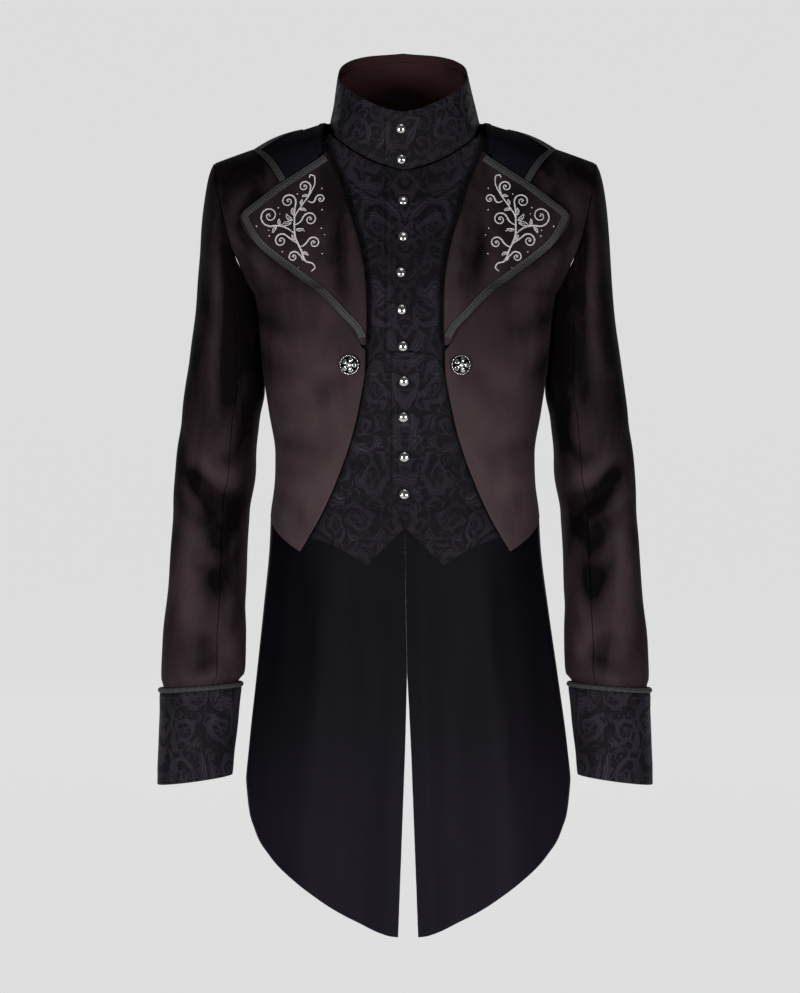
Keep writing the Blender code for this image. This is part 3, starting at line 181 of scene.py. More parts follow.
RIM_CENTRE_Y = -3.0
PANEL_TOP_COLUMNS = ("x", "z")
PANEL_TOP_ROWS = (
    (0.0, -271.5), (28.0, -271.5), (36.0, -275.5), (41.0, -286.0), (60.0, -303.0), (158.0, -320.0),
)
PANEL_HEM_COLUMNS = ("x", "z")
PANEL_HEM_ROWS = (
    (0.0, -476.0), (46.0, -520.0), (107.0, -483.5), (159.0, -454.0),
)
PANEL_SIDE_X = 62.0
PANEL_SIDE_DOWN = 324.0
SIDE_EDGE = 0.985
SLEEVE_COLUMNS = ("z", "outer_x", "inner_x", "mid_y", "half_depth", "tilt")
SLEEVE_ROWS = (
    (-774.0, 289.0, 213.0, -37.0, 41.0, 11.0),
    (-740.0, 289.5, 208.0, -35.0, 42.5, 9.5),
    (-700.0, 289.0, 203.5, -33.0, 44.0, 8.0),
    (-676.0, 288.0, 200.0, -31.5, 45.0, 7.0),
    (-664.0, 287.6, 199.4, -31.0, 45.5, 7.0),
    (-654.0, 290.6, 191.8, -30.0, 51.0, 6.5),
    (-636.0, 291.0, 190.2, -28.0, 52.0, 6.0),
    (-612.0, 290.2, 189.8, -24.0, 52.5, 5.0),
    (-560.0, 284.5, 189.5, -13.0, 53.5, 3.0),
    (-516.0, 281.8, 189.2, -4.0, 55.0, 2.0),
    (-460.8, 279.6, 184.4, 6.0, 58.0, 1.0),
    (-388.8, 274.8, 176.8, 14.0, 65.0, 0.0),
    (-345.0, 269.4, 174.6, 18.0, 71.0, 0.0),
    (-312.0, 265.0, 168.8, 20.0, 74.0, 0.0),
    (-280.0, 260.4, 171.2, 20.0, 78.0, 0.0),
    (-243.6, 255.0, 174.6, 18.0, 80.0, 0.0),
)
SLEEVE_TOP_Z = -243.6
SLEEVE_END_Z = -774.0
SLEEVE_CLEARANCE = 0.6
FOLD_COLUMNS = ("z", "angle", "fall", "depth", "spread", "reach")
FOLD_ROWS = (
    (-352.0, 100, 0.9, 2.0, 22.0, 55), (-402.0, 70, 1.1, 4.0, 20.0, 60),
    (-446.0, 110, 0.7, 4.5, 22.0, 55), (-492.0, 60, 0.9, 3.0, 22.0, 60),
    (-604.0, 80, -0.5, 3.0, 22.0, 60), (-372.0, 190, -0.8, 4.0, 22.0, 50),
    (-424.0, 230, -0.9, 4.0, 22.0, 60), (-590.0, 250, 0.5, 3.0, 24.0, 60),
)
CUFF_COLUMNS = ("part", "outer_x", "inner_x", "mid_y", "half_depth", "z", "tilt")
CUFF_ROWS = (
    (0.0, 292.4, 194.5, -31.5, 50.5, -670.0, 7.5),
    (0.5, 293.4, 199.8, -34.5, 48.5, -723.0, 9.5),
    (1.0, 294.8, 205.2, -37.5, 46.5, -776.5, 11.5),
)
CUFF_ROLL_RADIUS = 3.0
TAIL_COLUMNS = ("z", "side_x", "side_y", "mid_y", "square", "reach", "fold")
TAIL_ROWS = (
    (-981.0, 196.5, 46.0, 104.0, 2.1, 0.90, 5.5),
    (-880.0, 196.5, 42.0, 108.0, 2.1, 0.90, 5.5),
    (-790.0, 196.5, 37.0, 113.0, 2.1, 0.91, 5.0),
    (-744.0, 192.5, 33.0, 115.5, 2.1, 0.92, 4.5),
    (-661.0, 182.5, 25.0, 119.0, 2.2, 0.94, 3.5),
    (-571.0, 171.0, 13.0, 119.0, 2.2, 0.96, 2.0),
    (-500.0, 163.0, 4.0, 110.0, 2.3, 0.99, 0.6),
    (-460.0, 161.0, 1.0, 99.0, 2.3, 1.00, 0.0),
)
TAIL_WAVE_START = 1.1
TAIL_WAVE_TURNS = 10.0
TAIL_WAVE_POWER = 0.85
TAIL_SWING = 4.0
TAIL_HEM_COLUMNS = ("part", "z")
TAIL_HEM_ROWS = (
    (0.0, -981.0), (0.04, -980.0), (0.218, -961.0), (0.404, -938.5), (0.59, -911.5), (0.777, -877.5),
    (0.907, -844.0), (0.973, -812.0), (1.0, -780.0),
)
# Rows of x and z:
SMALL_BUTTON_ROWS = (
    (-3.0, -5.0), (-3.5, -41.0), (-2.5, -89.0), (-2.5, -133.0), (-5.0, -176.5), (-4.0, -221.0),
    (-2.5, -264.5), (-1.5, -305.5), (-2.0, -347.5), (-1.0, -393.5), (-1.0, -437.0),
)
COLLAR_BUTTONS = 2
COLLAR_BUTTON_SINK = 0.5
FIRST_WAIST_BUTTON = 7
LARGE_BUTTON_X = 64.5
LARGE_BUTTON_Z = -286.0
print("rows of the body form:", len(FORM_ROWS))

# %% [markdown]
# ## The body form
# A dressmaker's form is a stack of smooth sections. Here a point of the form is named by how far across
# it lies, from the middle line to the side seam, and by how far down it lies from the shoulder seam. It could
# be sculpted, but a rule that gives a point for each pair of numbers lets every piece of cloth be cut from it.

# %% Curves and the form
def table(columns, rows):
    """The rows of a table as one array for each named column."""
    values = np.array(rows, float)
    return {name: values[:, i] for i, name in enumerate(columns)}

def smooth(keys, values):
    """A curve through the values that never swings past them: it is level at each high or low."""
    keys = np.asarray(keys, float)
    values = np.asarray(values, float)
    steps = np.diff(keys)
    grades = np.diff(values) / steps
    before, after = grades[:-1], grades[1:]
    same_way = before * after > 0
    steepest = 3 * np.minimum(np.abs(before), np.abs(after))
    mean = (before * steps[1:] + after * steps[:-1]) / (steps[1:] + steps[:-1])
    inner = np.where(same_way, np.sign(mean) * np.minimum(np.abs(mean), steepest), 0.0)
    slopes = np.concatenate([grades[:1], inner, grades[-1:]])

    def at(key):
        key = np.clip(key, keys[0], keys[-1])
        i = np.clip(np.searchsorted(keys, key, side="right") - 1, 0, len(keys) - 2)
        step = keys[i + 1] - keys[i]
        u = (key - keys[i]) / step
        rise = values[i + 1] - values[i]
        curve = slopes[i] * step * u * (1 - u) ** 2 - slopes[i + 1] * step * u * u * (1 - u)
        return values[i] + rise * (3 * u * u - 2 * u**3) + curve

    return at

def smooth_table(columns, rows):
    """A smooth curve over the first column for each of the others."""
    named = table(columns, rows)
    return {name: smooth(named[columns[0]], named[name]) for name in columns[1:]}

def ease(value, start, end):
    """0 before start, 1 after end, and a soft step between."""
    u = np.clip((np.asarray(value, float) - start) / (end - start), 0, 1)
    return u * u * (3 - 2 * u)

FORM = smooth_table(FORM_COLUMNS, FORM_ROWS)
FRONT_EDGE = smooth_table(FRONT_EDGE_COLUMNS, FRONT_EDGE_ROWS)
RIM = smooth_table(RIM_COLUMNS, RIM_ROWS)
SLEEVE = smooth_table(SLEEVE_COLUMNS, SLEEVE_ROWS)
CUFF = smooth_table(CUFF_COLUMNS, CUFF_ROWS)
TAIL = smooth_table(TAIL_COLUMNS, TAIL_ROWS)
TAIL_HEM = smooth_table(TAIL_HEM_COLUMNS, TAIL_HEM_ROWS)

def form_point(across, down):
    """A point of the form: across runs from -1 to 1, side to side, and down from the shoulder seam."""
    part = np.abs(across)
    square = FORM["square"](down)
    reach = FORM["reach"](down)
    end_angle = np.arcsin(np.clip(reach ** (square / 2), 0, 1))
    angle = part * end_angle
    ratio = np.clip(np.sin(angle), 0, 1) ** (2 / square) / reach
    depth = 1 - np.clip(np.cos(angle), 0, 1) ** (2 / square)
    end_depth = 1 - np.clip(np.cos(end_angle), 0, 1) ** (2 / square)
    x = FORM["side_x"](down) * ratio
    y = FORM["mid_y"](down) + (FORM["side_y"](down) - FORM["mid_y"](down)) * depth / end_depth
    z = FORM["mid_z"](down) + (FORM["side_z"](down) - FORM["mid_z"](down)) * ratio ** FORM["bow"](down)
    return np.stack([x * np.where(across < 0, -1.0, 1.0), y, z], axis=-1)

def across_of(x, down):
    """How far across the form a distance from the middle line is, on one row."""
    square = FORM["square"](down)
    reach = FORM["reach"](down)
    ratio = np.clip(np.abs(x) / FORM["side_x"](down) * reach, 0, reach)
    end_angle = np.arcsin(np.clip(reach ** (square / 2), 0, 1))
    side = np.where(np.asarray(x) < 0, -1.0, 1.0)
    return side * np.arcsin(np.clip(ratio ** (square / 2), 0, 1)) / end_angle

def down_of(x, z):
    """The row of the front on which a point of the front view lies."""
    x, z = np.broadcast_arrays(np.abs(np.asarray(x, float)), np.asarray(z, float))
    low = np.zeros(x.shape)
    high = np.full(x.shape, 535.0)
    for _ in range(36):
        middle = (low + high) / 2
        ratio = np.clip(x / FORM["side_x"](middle), 0, 1)
        level = FORM["mid_z"](middle)
        level = level + (FORM["side_z"](middle) - level) * ratio ** FORM["bow"](middle)
        above = level > z
        low = np.where(above, middle, low)
        high = np.where(above, high, middle)
    return (low + high) / 2

def form_place(x, z):
    """(across, down) of a point given in the front view."""
    down = down_of(x, z)
    return across_of(x, down), down

def form_normal(across, down):
    step_a, step_d = 0.004, 1.0
    low_a = np.clip(across - step_a, -1, 1)
    high_a = np.clip(across + step_a, -1, 1)
    along = form_point(high_a, down) - form_point(low_a, down)
    below = form_point(across, down + step_d) - form_point(across, down - step_d)
    normal = np.cross(below, along)
    return normal / np.linalg.norm(normal, axis=-1, keepdims=True)

def on_form(across, down, height=0.0):
    """Points at a height over the form; a negative height is inside it."""
    height = np.broadcast_to(np.asarray(height, float), np.shape(down))
    return form_point(across, down) + form_normal(across, down) * height[..., None]

def edge_in_view(xs, zs):
    """An edge given by front-view points, as places on the form."""
    across, down = form_place(np.asarray(xs, float), np.asarray(zs, float))
    return np.stack([across, down], axis=-1)

def mirrored(points):
    return points * np.array([-1.0, 1.0, 1.0])
print("shoulder point:", form_point(np.array(1.0), np.array(0.0)).round(1))

# %% [markdown]
# ## Cloth with turned edges
# A sewn panel isn't a flat sheet with a sharp rim: its edge is turned in, so it rounds over, and where two
# panels meet there is a small valley. A Bevel modifier could round it, but here the grid has extra rows
# close to each edge and its face sinks there on a quarter round, which costs few faces and never crosses
# itself. The wall has an inner face too, so the coat can be looked into.

# %% Grids and turned edges
EDGE_STEPS = (0.0, 0.35, 1.0, 2.2)

def spread(count, length):
    """Shares from 0 to 1, with extra ones within a few millimetres of both ends."""
    near = np.array(EDGE_STEPS) / length
    return np.concatenate([near, np.linspace(near[-1], 1 - near[-1], count)[1:-1], 1 - near[::-1]])

def run_along(points, axis):
    """The length of the path to each point along one axis of a grid."""
    steps = np.linalg.norm(np.diff(points, axis=axis), axis=-1)
    first = np.zeros_like(np.take(steps, [0], axis=axis))
    return np.concatenate([first, np.cumsum(steps, axis=axis)], axis=axis)

def edge_distance(points, closed=False):
    """How far each point of a grid lies from the grid's own edge."""
    down = run_along(points, 0)
    nearest = np.minimum(down, down[-1:] - down)
    if closed:
        return nearest
    across = run_along(points, 1)
    return np.minimum(nearest, np.minimum(across, across[:, -1:] - across))

def panel(
    name, points, outward, wall, finish, uv, painted_light_and_hollows=0.5, closed=False, inner=None, rounding=0.55, lining=None
):
    """A wall of cloth with a rounded rim, as a mesh object with its own UV map in metres."""
    radius = rounding * wall
    near = np.clip(edge_distance(points, closed), 0, radius)
    sink = radius - np.sqrt(np.clip(radius**2 - (radius - near) ** 2, 0, None))
    if inner is None:
        inner = points - outward * wall
    outer = points - outward * sink[..., None]
    rows, columns = points.shape[:2]
    last = columns if closed else columns - 1
    i, j = (grid.ravel() for grid in np.meshgrid(range(rows - 1), range(last), indexing="ij"))
    k = (j + 1) % columns
    count = rows * columns
    front = np.stack(
        [i * columns + j, (i + 1) * columns + j, (i + 1) * columns + k, i * columns + k], axis=1
    )
    back = front[:, ::-1] + count
    j = np.arange(last)
    k = (j + 1) % columns
    foot = (rows - 1) * columns
    rim = [np.stack([j, k, k + count, j + count], axis=1)]
    rim.append(np.stack([foot + k, foot + j, foot + j + count, foot + k + count], axis=1))
    if not closed:
        a, b = np.arange(rows - 1) * columns, np.arange(1, rows) * columns
        rim.append(np.stack([b, a, a + count, b + count], axis=1))
        a, b = a + columns - 1, b + columns - 1
        rim.append(np.stack([a, b, b + count, a + count], axis=1))
    faces = np.concatenate([front, back, *rim])
    across = outer[:-1, 1:] - outer[:-1, :-1]
    along = outer[1:, :-1] - outer[:-1, :-1]
    if float((np.cross(along, across) * outward[:-1, :-1]).sum()) < 0:
        faces = faces[:, ::-1]
    mesh = bpy.data.meshes.new(name)
    places = np.concatenate([outer.reshape(-1, 3), inner.reshape(-1, 3)]) * TO_METRES
    mesh.from_pydata(places.tolist(), [], faces.tolist())
    u, v = (np.broadcast_to(part, points.shape[:2]).ravel() * TO_METRES for part in uv)
    u, v = np.tile(u, 2), np.tile(v, 2)
    corner = np.empty(len(mesh.loops), np.int32)
    mesh.loops.foreach_get("vertex_index", corner)
    layer = mesh.uv_layers.new(name="cloth")
    layer.data.foreach_set("uv", np.stack([u[corner], v[corner]], axis=1).astype(np.float32).ravel())
    # Painted light and shade, one share for each point, kept as a point attribute that the finishes read.
    clouds_and_painted_light = np.tile(np.broadcast_to(painted_light_and_hollows, points.shape[:2]).ravel(), 2)
    mesh.attributes.new("painted_light_and_hollows", "FLOAT", "POINT").data.foreach_set(
        "value", np.clip(clouds_and_painted_light, 0, 1).astype(np.float32)
    )
    piece = finished(name, mesh, finish)
    if lining is not None:
        mesh.materials.append(lining)
        inside = np.zeros(len(faces), np.int32)
        inside[len(front):2 * len(front)] = 1
        mesh.polygons.foreach_set("material_index", inside)
    return piece

def finished(name, mesh, finish):
    """Puts a mesh in the scene under its name, smooth, with its finish."""
    mesh.materials.append(finish)
    mesh.shade_smooth()
    mesh.set_sharp_from_angle(angle=math.radians(60))
    mesh.update()
    made = bpy.data.objects.new(name, mesh)
    bpy.context.scene.collection.objects.link(made)
    return made

def stands_for(piece, slot, *nodes):
    """The piece takes the place of its solids and stays with the coat."""
    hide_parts(*nodes)
    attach(piece, "root")
    return piece

def cut(piece):
    """Hands the piece back as it is."""
    return piece

print("rows near an edge:", EDGE_STEPS)

# %% [markdown]
# ## Creases
# Worn cloth is never even. A crease is a trough with a softer ridge beside it, deepest in its middle and
# lost at both ends. It could be painted as bump, but then the outline stays stiff, so the points of the
# cloth are moved. A row of the table gives a crease's two ends on the piece, its bow, depth and width, and a
# fixed seed makes the two sides of the coat a little different.

# %% Troughs and ridges
CREASE_COLUMNS = ("x0", "z0", "x1", "z1", "bow", "depth", "width")

def creases(x, z, rows, seed):
    """How far each point of a chart is pressed in by a table of creases."""
    rng = np.random.default_rng(seed)
    pressed = np.zeros(np.broadcast(x, z).shape)
    for row in rows:
        fold = dict(zip(CREASE_COLUMNS, row))
        start = np.array([fold["x0"], fold["z0"]]) + rng.normal(0, 2.5, 2)
        end = np.array([fold["x1"], fold["z1"]]) + rng.normal(0, 2.5, 2)
        run = end - start
        length = np.linalg.norm(run)
        ahead = run / length
        away_x, away_z = x - start[0], z - start[1]
        along = (away_x * ahead[0] + away_z * ahead[1]) / length
        side = away_x * -ahead[1] + away_z * ahead[0]
        side = side - fold["bow"] * 4 * np.clip(along, 0, 1) * (1 - np.clip(along, 0, 1))
        side = side + 0.12 * fold["width"] * np.sin(along * 9.0 + row[0])
        window = ease(along, -0.12, 0.3) * (1 - ease(along, 0.6, 1.12))
        width = fold["width"] * (0.75 + 0.5 * np.clip(along, 0, 1)) * rng.uniform(0.9, 1.15)
        depth = fold["depth"] * rng.uniform(0.85, 1.15)
        trough = np.exp(-((side / width) ** 2)) - 0.5 * np.exp(
            -(((side - 1.7 * width) / (1.1 * width)) ** 2)
        )
        pressed = pressed + depth * window * trough
    return pressed

def soft_noise(x, z, size, seed):
    """Slow, smooth unevenness between about -1 and 1."""
    rng = np.random.default_rng(seed)
    total = np.zeros(np.broadcast(x, z).shape)
    for _ in range(6):
        turn = rng.uniform(0, 2 * math.pi)
        step = rng.uniform(0.7, 1.6) * 2 * math.pi / size
        wave = x * math.cos(turn) + z * math.sin(turn)
        total = total + np.sin(wave * step + rng.uniform(0, 2 * math.pi))
    return total / 3.5

print("crease columns:", CREASE_COLUMNS)

# %% [markdown]
# ## Finishes
# Each cloth is told apart by how it takes the light. Velvet is dark from straight ahead and lights up where it
# turns away, because its pile catches the light: the sheen socket gives a faint share of that, and the base
# colour of the velvet carries painted light and shade, set for each point. Satin has a broad gloss.
# Brocade mixes both, as its raised threads shine and its ground doesn't. All patterns are worked out from
# the piece's own place or its UV map, so they stay on the cloth.

# %% Node helpers
class Tree:
    """Builds a material's nodes with short calls."""

    def __init__(
        self, name, colour, roughness, metallic=0.0, sheen=0.0, sheen_roughness=0.5, sheen_tint=(1, 1, 1)
    ):
        self.material = bpy.data.materials.new(name)
        self.material.use_nodes = True
        self.nodes = self.material.node_tree.nodes
        self.links = self.material.node_tree.links
        self.shader = self.nodes["Principled BSDF"]
        self.set("Base Color", (*colour, 1))
        self.set("Roughness", roughness)
        self.set("Metallic", metallic)
        self.set("Sheen Weight", sheen)
        self.set("Sheen Roughness", sheen_roughness)
        self.set("Sheen Tint", (*sheen_tint, 1))

    def set(self, socket, value):
        if isinstance(value, bpy.types.NodeSocket):
            self.links.new(value, self.shader.inputs[socket])
        else:
            self.shader.inputs[socket].default_value = value

    def node(self, kind, *values, **named):
        made = self.nodes.new(kind)
        for key, value in named.items():
            setattr(made, key, value)
        for index, value in enumerate(values):
            self.fill(made.inputs[index], value)
        return made

    def fill(self, socket, value):
        if value is None:
            return
        if isinstance(value, bpy.types.NodeSocket):
            self.links.new(value, socket)
        else:
            socket.default_value = value

    def sum(self, kind, a, b=None, c=None):
        return self.node("ShaderNodeMath", a, b, c, operation=kind).outputs[0]

    def vector(self, kind, a, b=None):
        made = self.node("ShaderNodeVectorMath", a, b, operation=kind)
        return made.outputs["Value"] if kind in ("LENGTH", "DISTANCE", "DOT_PRODUCT") else made.outputs[0]

    def place(self):
        return self.node("ShaderNodeTexCoord").outputs["Object"]

    def cloth(self):
        return self.node("ShaderNodeUVMap", uv_map="cloth").outputs[0]

    def scaled(self, vector, size):
        made = self.node("ShaderNodeMapping")
        self.links.new(vector, made.inputs["Vector"])
        made.inputs["Scale"].default_value = size
        return made.outputs[0]

    def noise(self, vector, scale, detail=3.0, roughness=0.55, distortion=0.0):
        made = self.node("ShaderNodeTexNoise")
        self.links.new(vector, made.inputs["Vector"])
        for key, value in (
            ("Scale", scale), ("Detail", detail), ("Roughness", roughness), ("Distortion", distortion)
        ):
            made.inputs[key].default_value = value
        return made.outputs["Fac"]

    def span(self, value, low, high, to_low=0.0, to_high=1.0):
        made = self.node(
            "ShaderNodeMapRange", value, low, high, to_low, to_high, interpolation_type="SMOOTHSTEP"
        )
        return made.outputs[0]

    def blend(self, share, low, high):
        made = self.node("ShaderNodeMix", data_type="RGBA")
        self.fill(made.inputs["Factor"], share)
        self.fill(made.inputs[6], low if isinstance(low, bpy.types.NodeSocket) else (*low, 1))
        self.fill(made.inputs[7], high if isinstance(high, bpy.types.NodeSocket) else (*high, 1))
        return made.outputs[2]

    def bump(self, height, depth, strength=1.0, below=None):
        made = self.node("ShaderNodeBump")
        made.inputs["Strength"].default_value = strength
        made.inputs["Distance"].default_value = depth
        self.links.new(height, made.inputs["Height"])
        if below is not None:
            self.links.new(below, made.inputs["Normal"])
        self.set("Normal", made.outputs[0])
        return made.outputs[0]

def velvet(name, dark, light, sheen, tint, gloss):
    """Short-pile velvet: its base colour runs from dark to light by a share of painted light and shade for each
    point, with small clouds brushed in.
    """
    tree = Tree(name, dark, 0.7, sheen=sheen, sheen_roughness=0.38, sheen_tint=tint)
    tree.set("Specular Tint", (*tint, 1))
    tree.set("Specular IOR Level", gloss)
    place = tree.place()
    clouds_and_painted_light = tree.noise(tree.scaled(place, (1.0, 1.0, 0.45)), 22.0, 4.0, 0.6, 0.7)
    cloudy = tree.span(clouds_and_painted_light, 0.36, 0.68, -0.09, 0.09)
    fibres = tree.noise(place, 2600.0, 2.0)
    # The attribute's painted light and shade set how far the colour goes from dark to light.
    painted_light_share = tree.node("ShaderNodeAttribute", attribute_name="painted_light_and_hollows").outputs["Fac"]
    share = tree.sum("ADD", tree.sum("ADD", painted_light_share, cloudy), tree.sum("MULTIPLY_ADD", fibres, 0.12, -0.06))
    tree.set("Base Color", tree.blend(share, dark, light))
    soft = tree.bump(tree.noise(tree.scaled(place, (1.0, 1.0, 0.5)), 60.0, 3.0, 0.5, 0.4), 0.0008, 0.4)
    tree.bump(fibres, 0.00025, 0.4, soft)
    return tree.material

def brocade(name, ground, thread):
    """Brocade: curled leaves in raised shining thread on a dull ribbed ground, turned near black by painted shade
    where the point attribute is low.
    """
    tree = Tree(name, ground, 0.5, sheen=0.02)
    tree.set("Specular IOR Level", 0.06)
    cloth = tree.cloth()
    drawn = None
    for size, spin, strength in ((20.0, 6.2, 1.0), (43.0, 5.0, 0.8)):
        place = tree.vector("MULTIPLY", cloth, (size, size, 0.0))
        wave = tree.noise(tree.vector("MULTIPLY", cloth, (size, size, 0.0)), 0.9, 2.0)
        place = tree.vector("ADD", place, tree.node("ShaderNodeCombineXYZ", wave, wave, 0.0).outputs[0])
        cells = tree.node("ShaderNodeTexVoronoi", voronoi_dimensions="2D")
        edges = tree.node("ShaderNodeTexVoronoi", voronoi_dimensions="2D", feature="DISTANCE_TO_EDGE")
        for cell in (cells, edges):
            tree.links.new(place, cell.inputs["Vector"])
            cell.inputs["Scale"].default_value = 1.0
            cell.inputs["Randomness"].default_value = 0.62
        away = tree.node("ShaderNodeSeparateXYZ", tree.vector("SUBTRACT", place, cells.outputs["Position"]))
        across, up = away.outputs[0], away.outputs[1]
        far = tree.sum(
            "ADD",
            tree.sum(
                "SQRT", tree.sum("ADD", tree.sum("MULTIPLY", across, across), tree.sum("MULTIPLY", up, up))
            ),
            0.015
        )
        chance = tree.node("ShaderNodeSeparateColor", cells.outputs["Color"])
        hand = tree.sum("SIGN", tree.sum("SUBTRACT", chance.outputs[0], 0.5))
        turn = tree.sum("MULTIPLY", tree.sum("ARCTAN2", up, across), hand)
        start = tree.sum("MULTIPLY", chance.outputs[1], 6.2832)
        lobes = tree.sum(
            "MULTIPLY", tree.sum("SINE", tree.sum("MULTIPLY", turn, 7.0)), tree.sum("MULTIPLY", far, 0.9)
        )
        coil = tree.sum("ADD", turn, tree.sum("MULTIPLY", tree.sum("LOGARITHM", far, 2.71828), spin))
        coil = tree.sum("ADD", tree.sum("ADD", coil, start), lobes)
        arm = tree.span(tree.sum("SINE", coil), -0.1, 0.45)
        vein = tree.span(tree.sum("SINE", tree.sum("MULTIPLY", coil, 8.0)), -0.5, 0.5, 0.3, 1.0)
        inside = tree.span(edges.outputs["Distance"], 0.015, 0.07)
        motif = tree.sum("MULTIPLY", tree.sum("MULTIPLY", tree.sum("MULTIPLY", arm, vein), inside), strength)
        drawn = motif if drawn is None else tree.sum(
            "MAXIMUM", drawn, tree.sum("MULTIPLY", motif, tree.span(drawn, 0.1, 0.4, 1.0, 0.0))
        )
    rib = tree.node("ShaderNodeTexWave", wave_type="BANDS", bands_direction="DIAGONAL")
    tree.links.new(cloth, rib.inputs["Vector"])
    rib.inputs["Scale"].default_value = 420.0
    worn = tree.noise(tree.place(), 14.0, 3.0)
    shown = tree.sum("MULTIPLY", drawn, tree.span(worn, 0.3, 0.65, 0.4, 1.0))
    # Painted shade: where the point attribute is low, beside the coat's front edges, the colour goes to near
    # black.
    lit = tree.node("ShaderNodeAttribute", attribute_name="painted_light_and_hollows").outputs["Fac"]
    open_to_light = tree.span(lit, 0.0, 0.5)
    tree.set(
        "Base Color", tree.blend(open_to_light, (0.0008, 0.0007, 0.0010), tree.blend(shown, ground, thread))
    )
    tree.set("Roughness", tree.span(drawn, 0.0, 1.0, 0.62, 0.42))
    woven = tree.bump(rib.outputs["Fac"], 0.00012, 0.5)
    tree.bump(drawn, 0.0005, 0.7, woven)
    return tree.material

def satin(name, colour, light):
    """Dull satin: a smooth dark lining with a faint twill, and painted light that makes it lighter lower down."""
    tree = Tree(name, colour, 0.62)
    tree.set("Specular IOR Level", 0.05)
    place = tree.place()
    streak = tree.noise(tree.scaled(place, (1.0, 1.0, 0.12)), 30.0, 3.0)
    # Painted light: the lining gets lighter lower down.
    painted_light_below = tree.span(tree.node("ShaderNodeSeparateXYZ", place).outputs[2], -0.60, -0.86, 0.0, 0.7)
    tree.set(
        "Base Color",
        tree.blend(tree.sum("ADD", painted_light_below, tree.span(streak, 0.3, 0.75, 0.0, 0.3)), colour, light)
    )
    soft = tree.bump(tree.noise(tree.scaled(place, (1.0, 1.0, 0.3)), 42.0, 2.0), 0.0012, 0.3)
    tree.bump(tree.noise(tree.scaled(place, (1.0, 1.0, 0.05)), 1800.0, 1.0), 0.00006, 0.4, soft)
    return tree.material

def corded(name, colour, light, metallic=0.0, roughness=0.6, size=900.0):
    """Twisted thread: fine slanting plies along the piece's own UV map."""
    tree = Tree(name, colour, roughness, metallic, sheen=0.04)
    tree.set("Specular IOR Level", 0.3)
    ply = tree.node("ShaderNodeTexWave", wave_type="BANDS", bands_direction="DIAGONAL")
    tree.links.new(tree.cloth(), ply.inputs["Vector"])
    ply.inputs["Scale"].default_value = size
    ply.inputs["Distortion"].default_value = 0.6
    dusty = tree.noise(tree.place(), 300.0, 2.0)
    share = tree.sum("MULTIPLY_ADD", dusty, 0.5, tree.sum("MULTIPLY", ply.outputs["Fac"], 0.5))
    tree.set("Base Color", tree.blend(share, colour, light))
    tree.bump(ply.outputs["Fac"], 0.0002, 0.7)
    return tree.material

BRAID_HALF = BRAID_WIDTH / 2 * TO_METRES
WEAVE_PITCH = 3.6
WEAVE_LEAN = 1.1

def braided(name, colour, light):
    """Plaited braid: chevrons along the piece's own UV map, with painted shade where one ply dips under the next.
    """
    tree = Tree(name, colour, 0.5, sheen=0.03)
    tree.set("Specular IOR Level", 0.3)
    along = tree.node("ShaderNodeSeparateXYZ", tree.cloth())
    side = tree.sum("ABSOLUTE", tree.sum("SUBTRACT", tree.sum("DIVIDE", along.outputs[1], BRAID_HALF), 1.0))
    turn = tree.sum(
        "ADD", tree.sum("DIVIDE", along.outputs[0], WEAVE_PITCH * TO_METRES),
        tree.sum("MULTIPLY", side, WEAVE_LEAN)
    )
    ply = tree.sum("ABSOLUTE", tree.sum("SINE", tree.sum("MULTIPLY", turn, math.pi)))
    threads = tree.noise(tree.scaled(tree.cloth(), (600.0, 2400.0, 1.0)), 1.0, 2.0)
    # Painted shade: the colour darkens where one ply dips under the next.
    share = tree.sum("MULTIPLY", tree.sum("POWER", ply, 1.4), tree.span(threads, 0.25, 0.75, 0.45, 1.0))
    ridge = tree.sum("MAXIMUM", tree.span(side, 0.62, 0.74), tree.span(side, 0.18, 0.34, 0.8, 0.0))
    share = tree.sum("MULTIPLY", share, tree.sum("MULTIPLY_ADD", ridge, 0.85, 0.15))
    tree.set("Base Color", tree.blend(share, colour, light))
    tree.bump(threads, 0.00012, 0.5)
    return tree.material

def silver(name):
    """Polished silver-coloured metal, near black in its hollows and bright on top of its relief, as a point
    attribute tells them.
    """
    tree = Tree(name, (0.78, 0.77, 0.76), 0.16, 1.0)
    place = tree.place()
    cloudy = tree.noise(place, 220.0, 3.0)
    raised = tree.span(tree.node("ShaderNodeAttribute", attribute_name="painted_light_and_hollows").outputs["Fac"], 0.1, 0.5)
    bright = tree.blend(tree.span(cloudy, 0.3, 0.75), (0.74, 0.73, 0.72), (0.5, 0.49, 0.48))
    tree.set("Base Color", tree.blend(raised, (0.012, 0.011, 0.012), bright))
    tree.set("Roughness", tree.span(cloudy, 0.3, 0.75, 0.1, 0.22))
    tree.bump(tree.noise(place, 900.0, 2.0), 0.00003, 0.3)
    return tree.material

COAT_VELVET = velvet(
    "coat_velvet", (0.0016, 0.0011, 0.0013), (0.0500, 0.0335, 0.0375), 0.012, (1.0, 0.84, 0.86), 0.03
)
COLLAR_VELVET = velvet(
    "collar_velvet", (0.0016, 0.0017, 0.0026), (0.0060, 0.0062, 0.0092), 0.0, (0.8, 0.88, 1.0), 0.01
)
WINE_VELVET = velvet(
    "wine_velvet", (0.0026, 0.0005, 0.0010), (0.0120, 0.0022, 0.0040), 0.0, (1.0, 0.6, 0.6), 0.02
)
WINE_BAND = velvet(
    "wine_band", (0.0100, 0.0042, 0.0048), (0.0300, 0.0130, 0.0145), 0.0, (1.0, 0.7, 0.7), 0.04
)
DARK_BROCADE = brocade("dark_brocade", (0.0034, 0.0027, 0.0044), (0.0205, 0.0172, 0.0252))
BLUE_SATIN = satin("blue_satin", (0.0022, 0.0017, 0.0032), (0.0062, 0.0052, 0.0086))
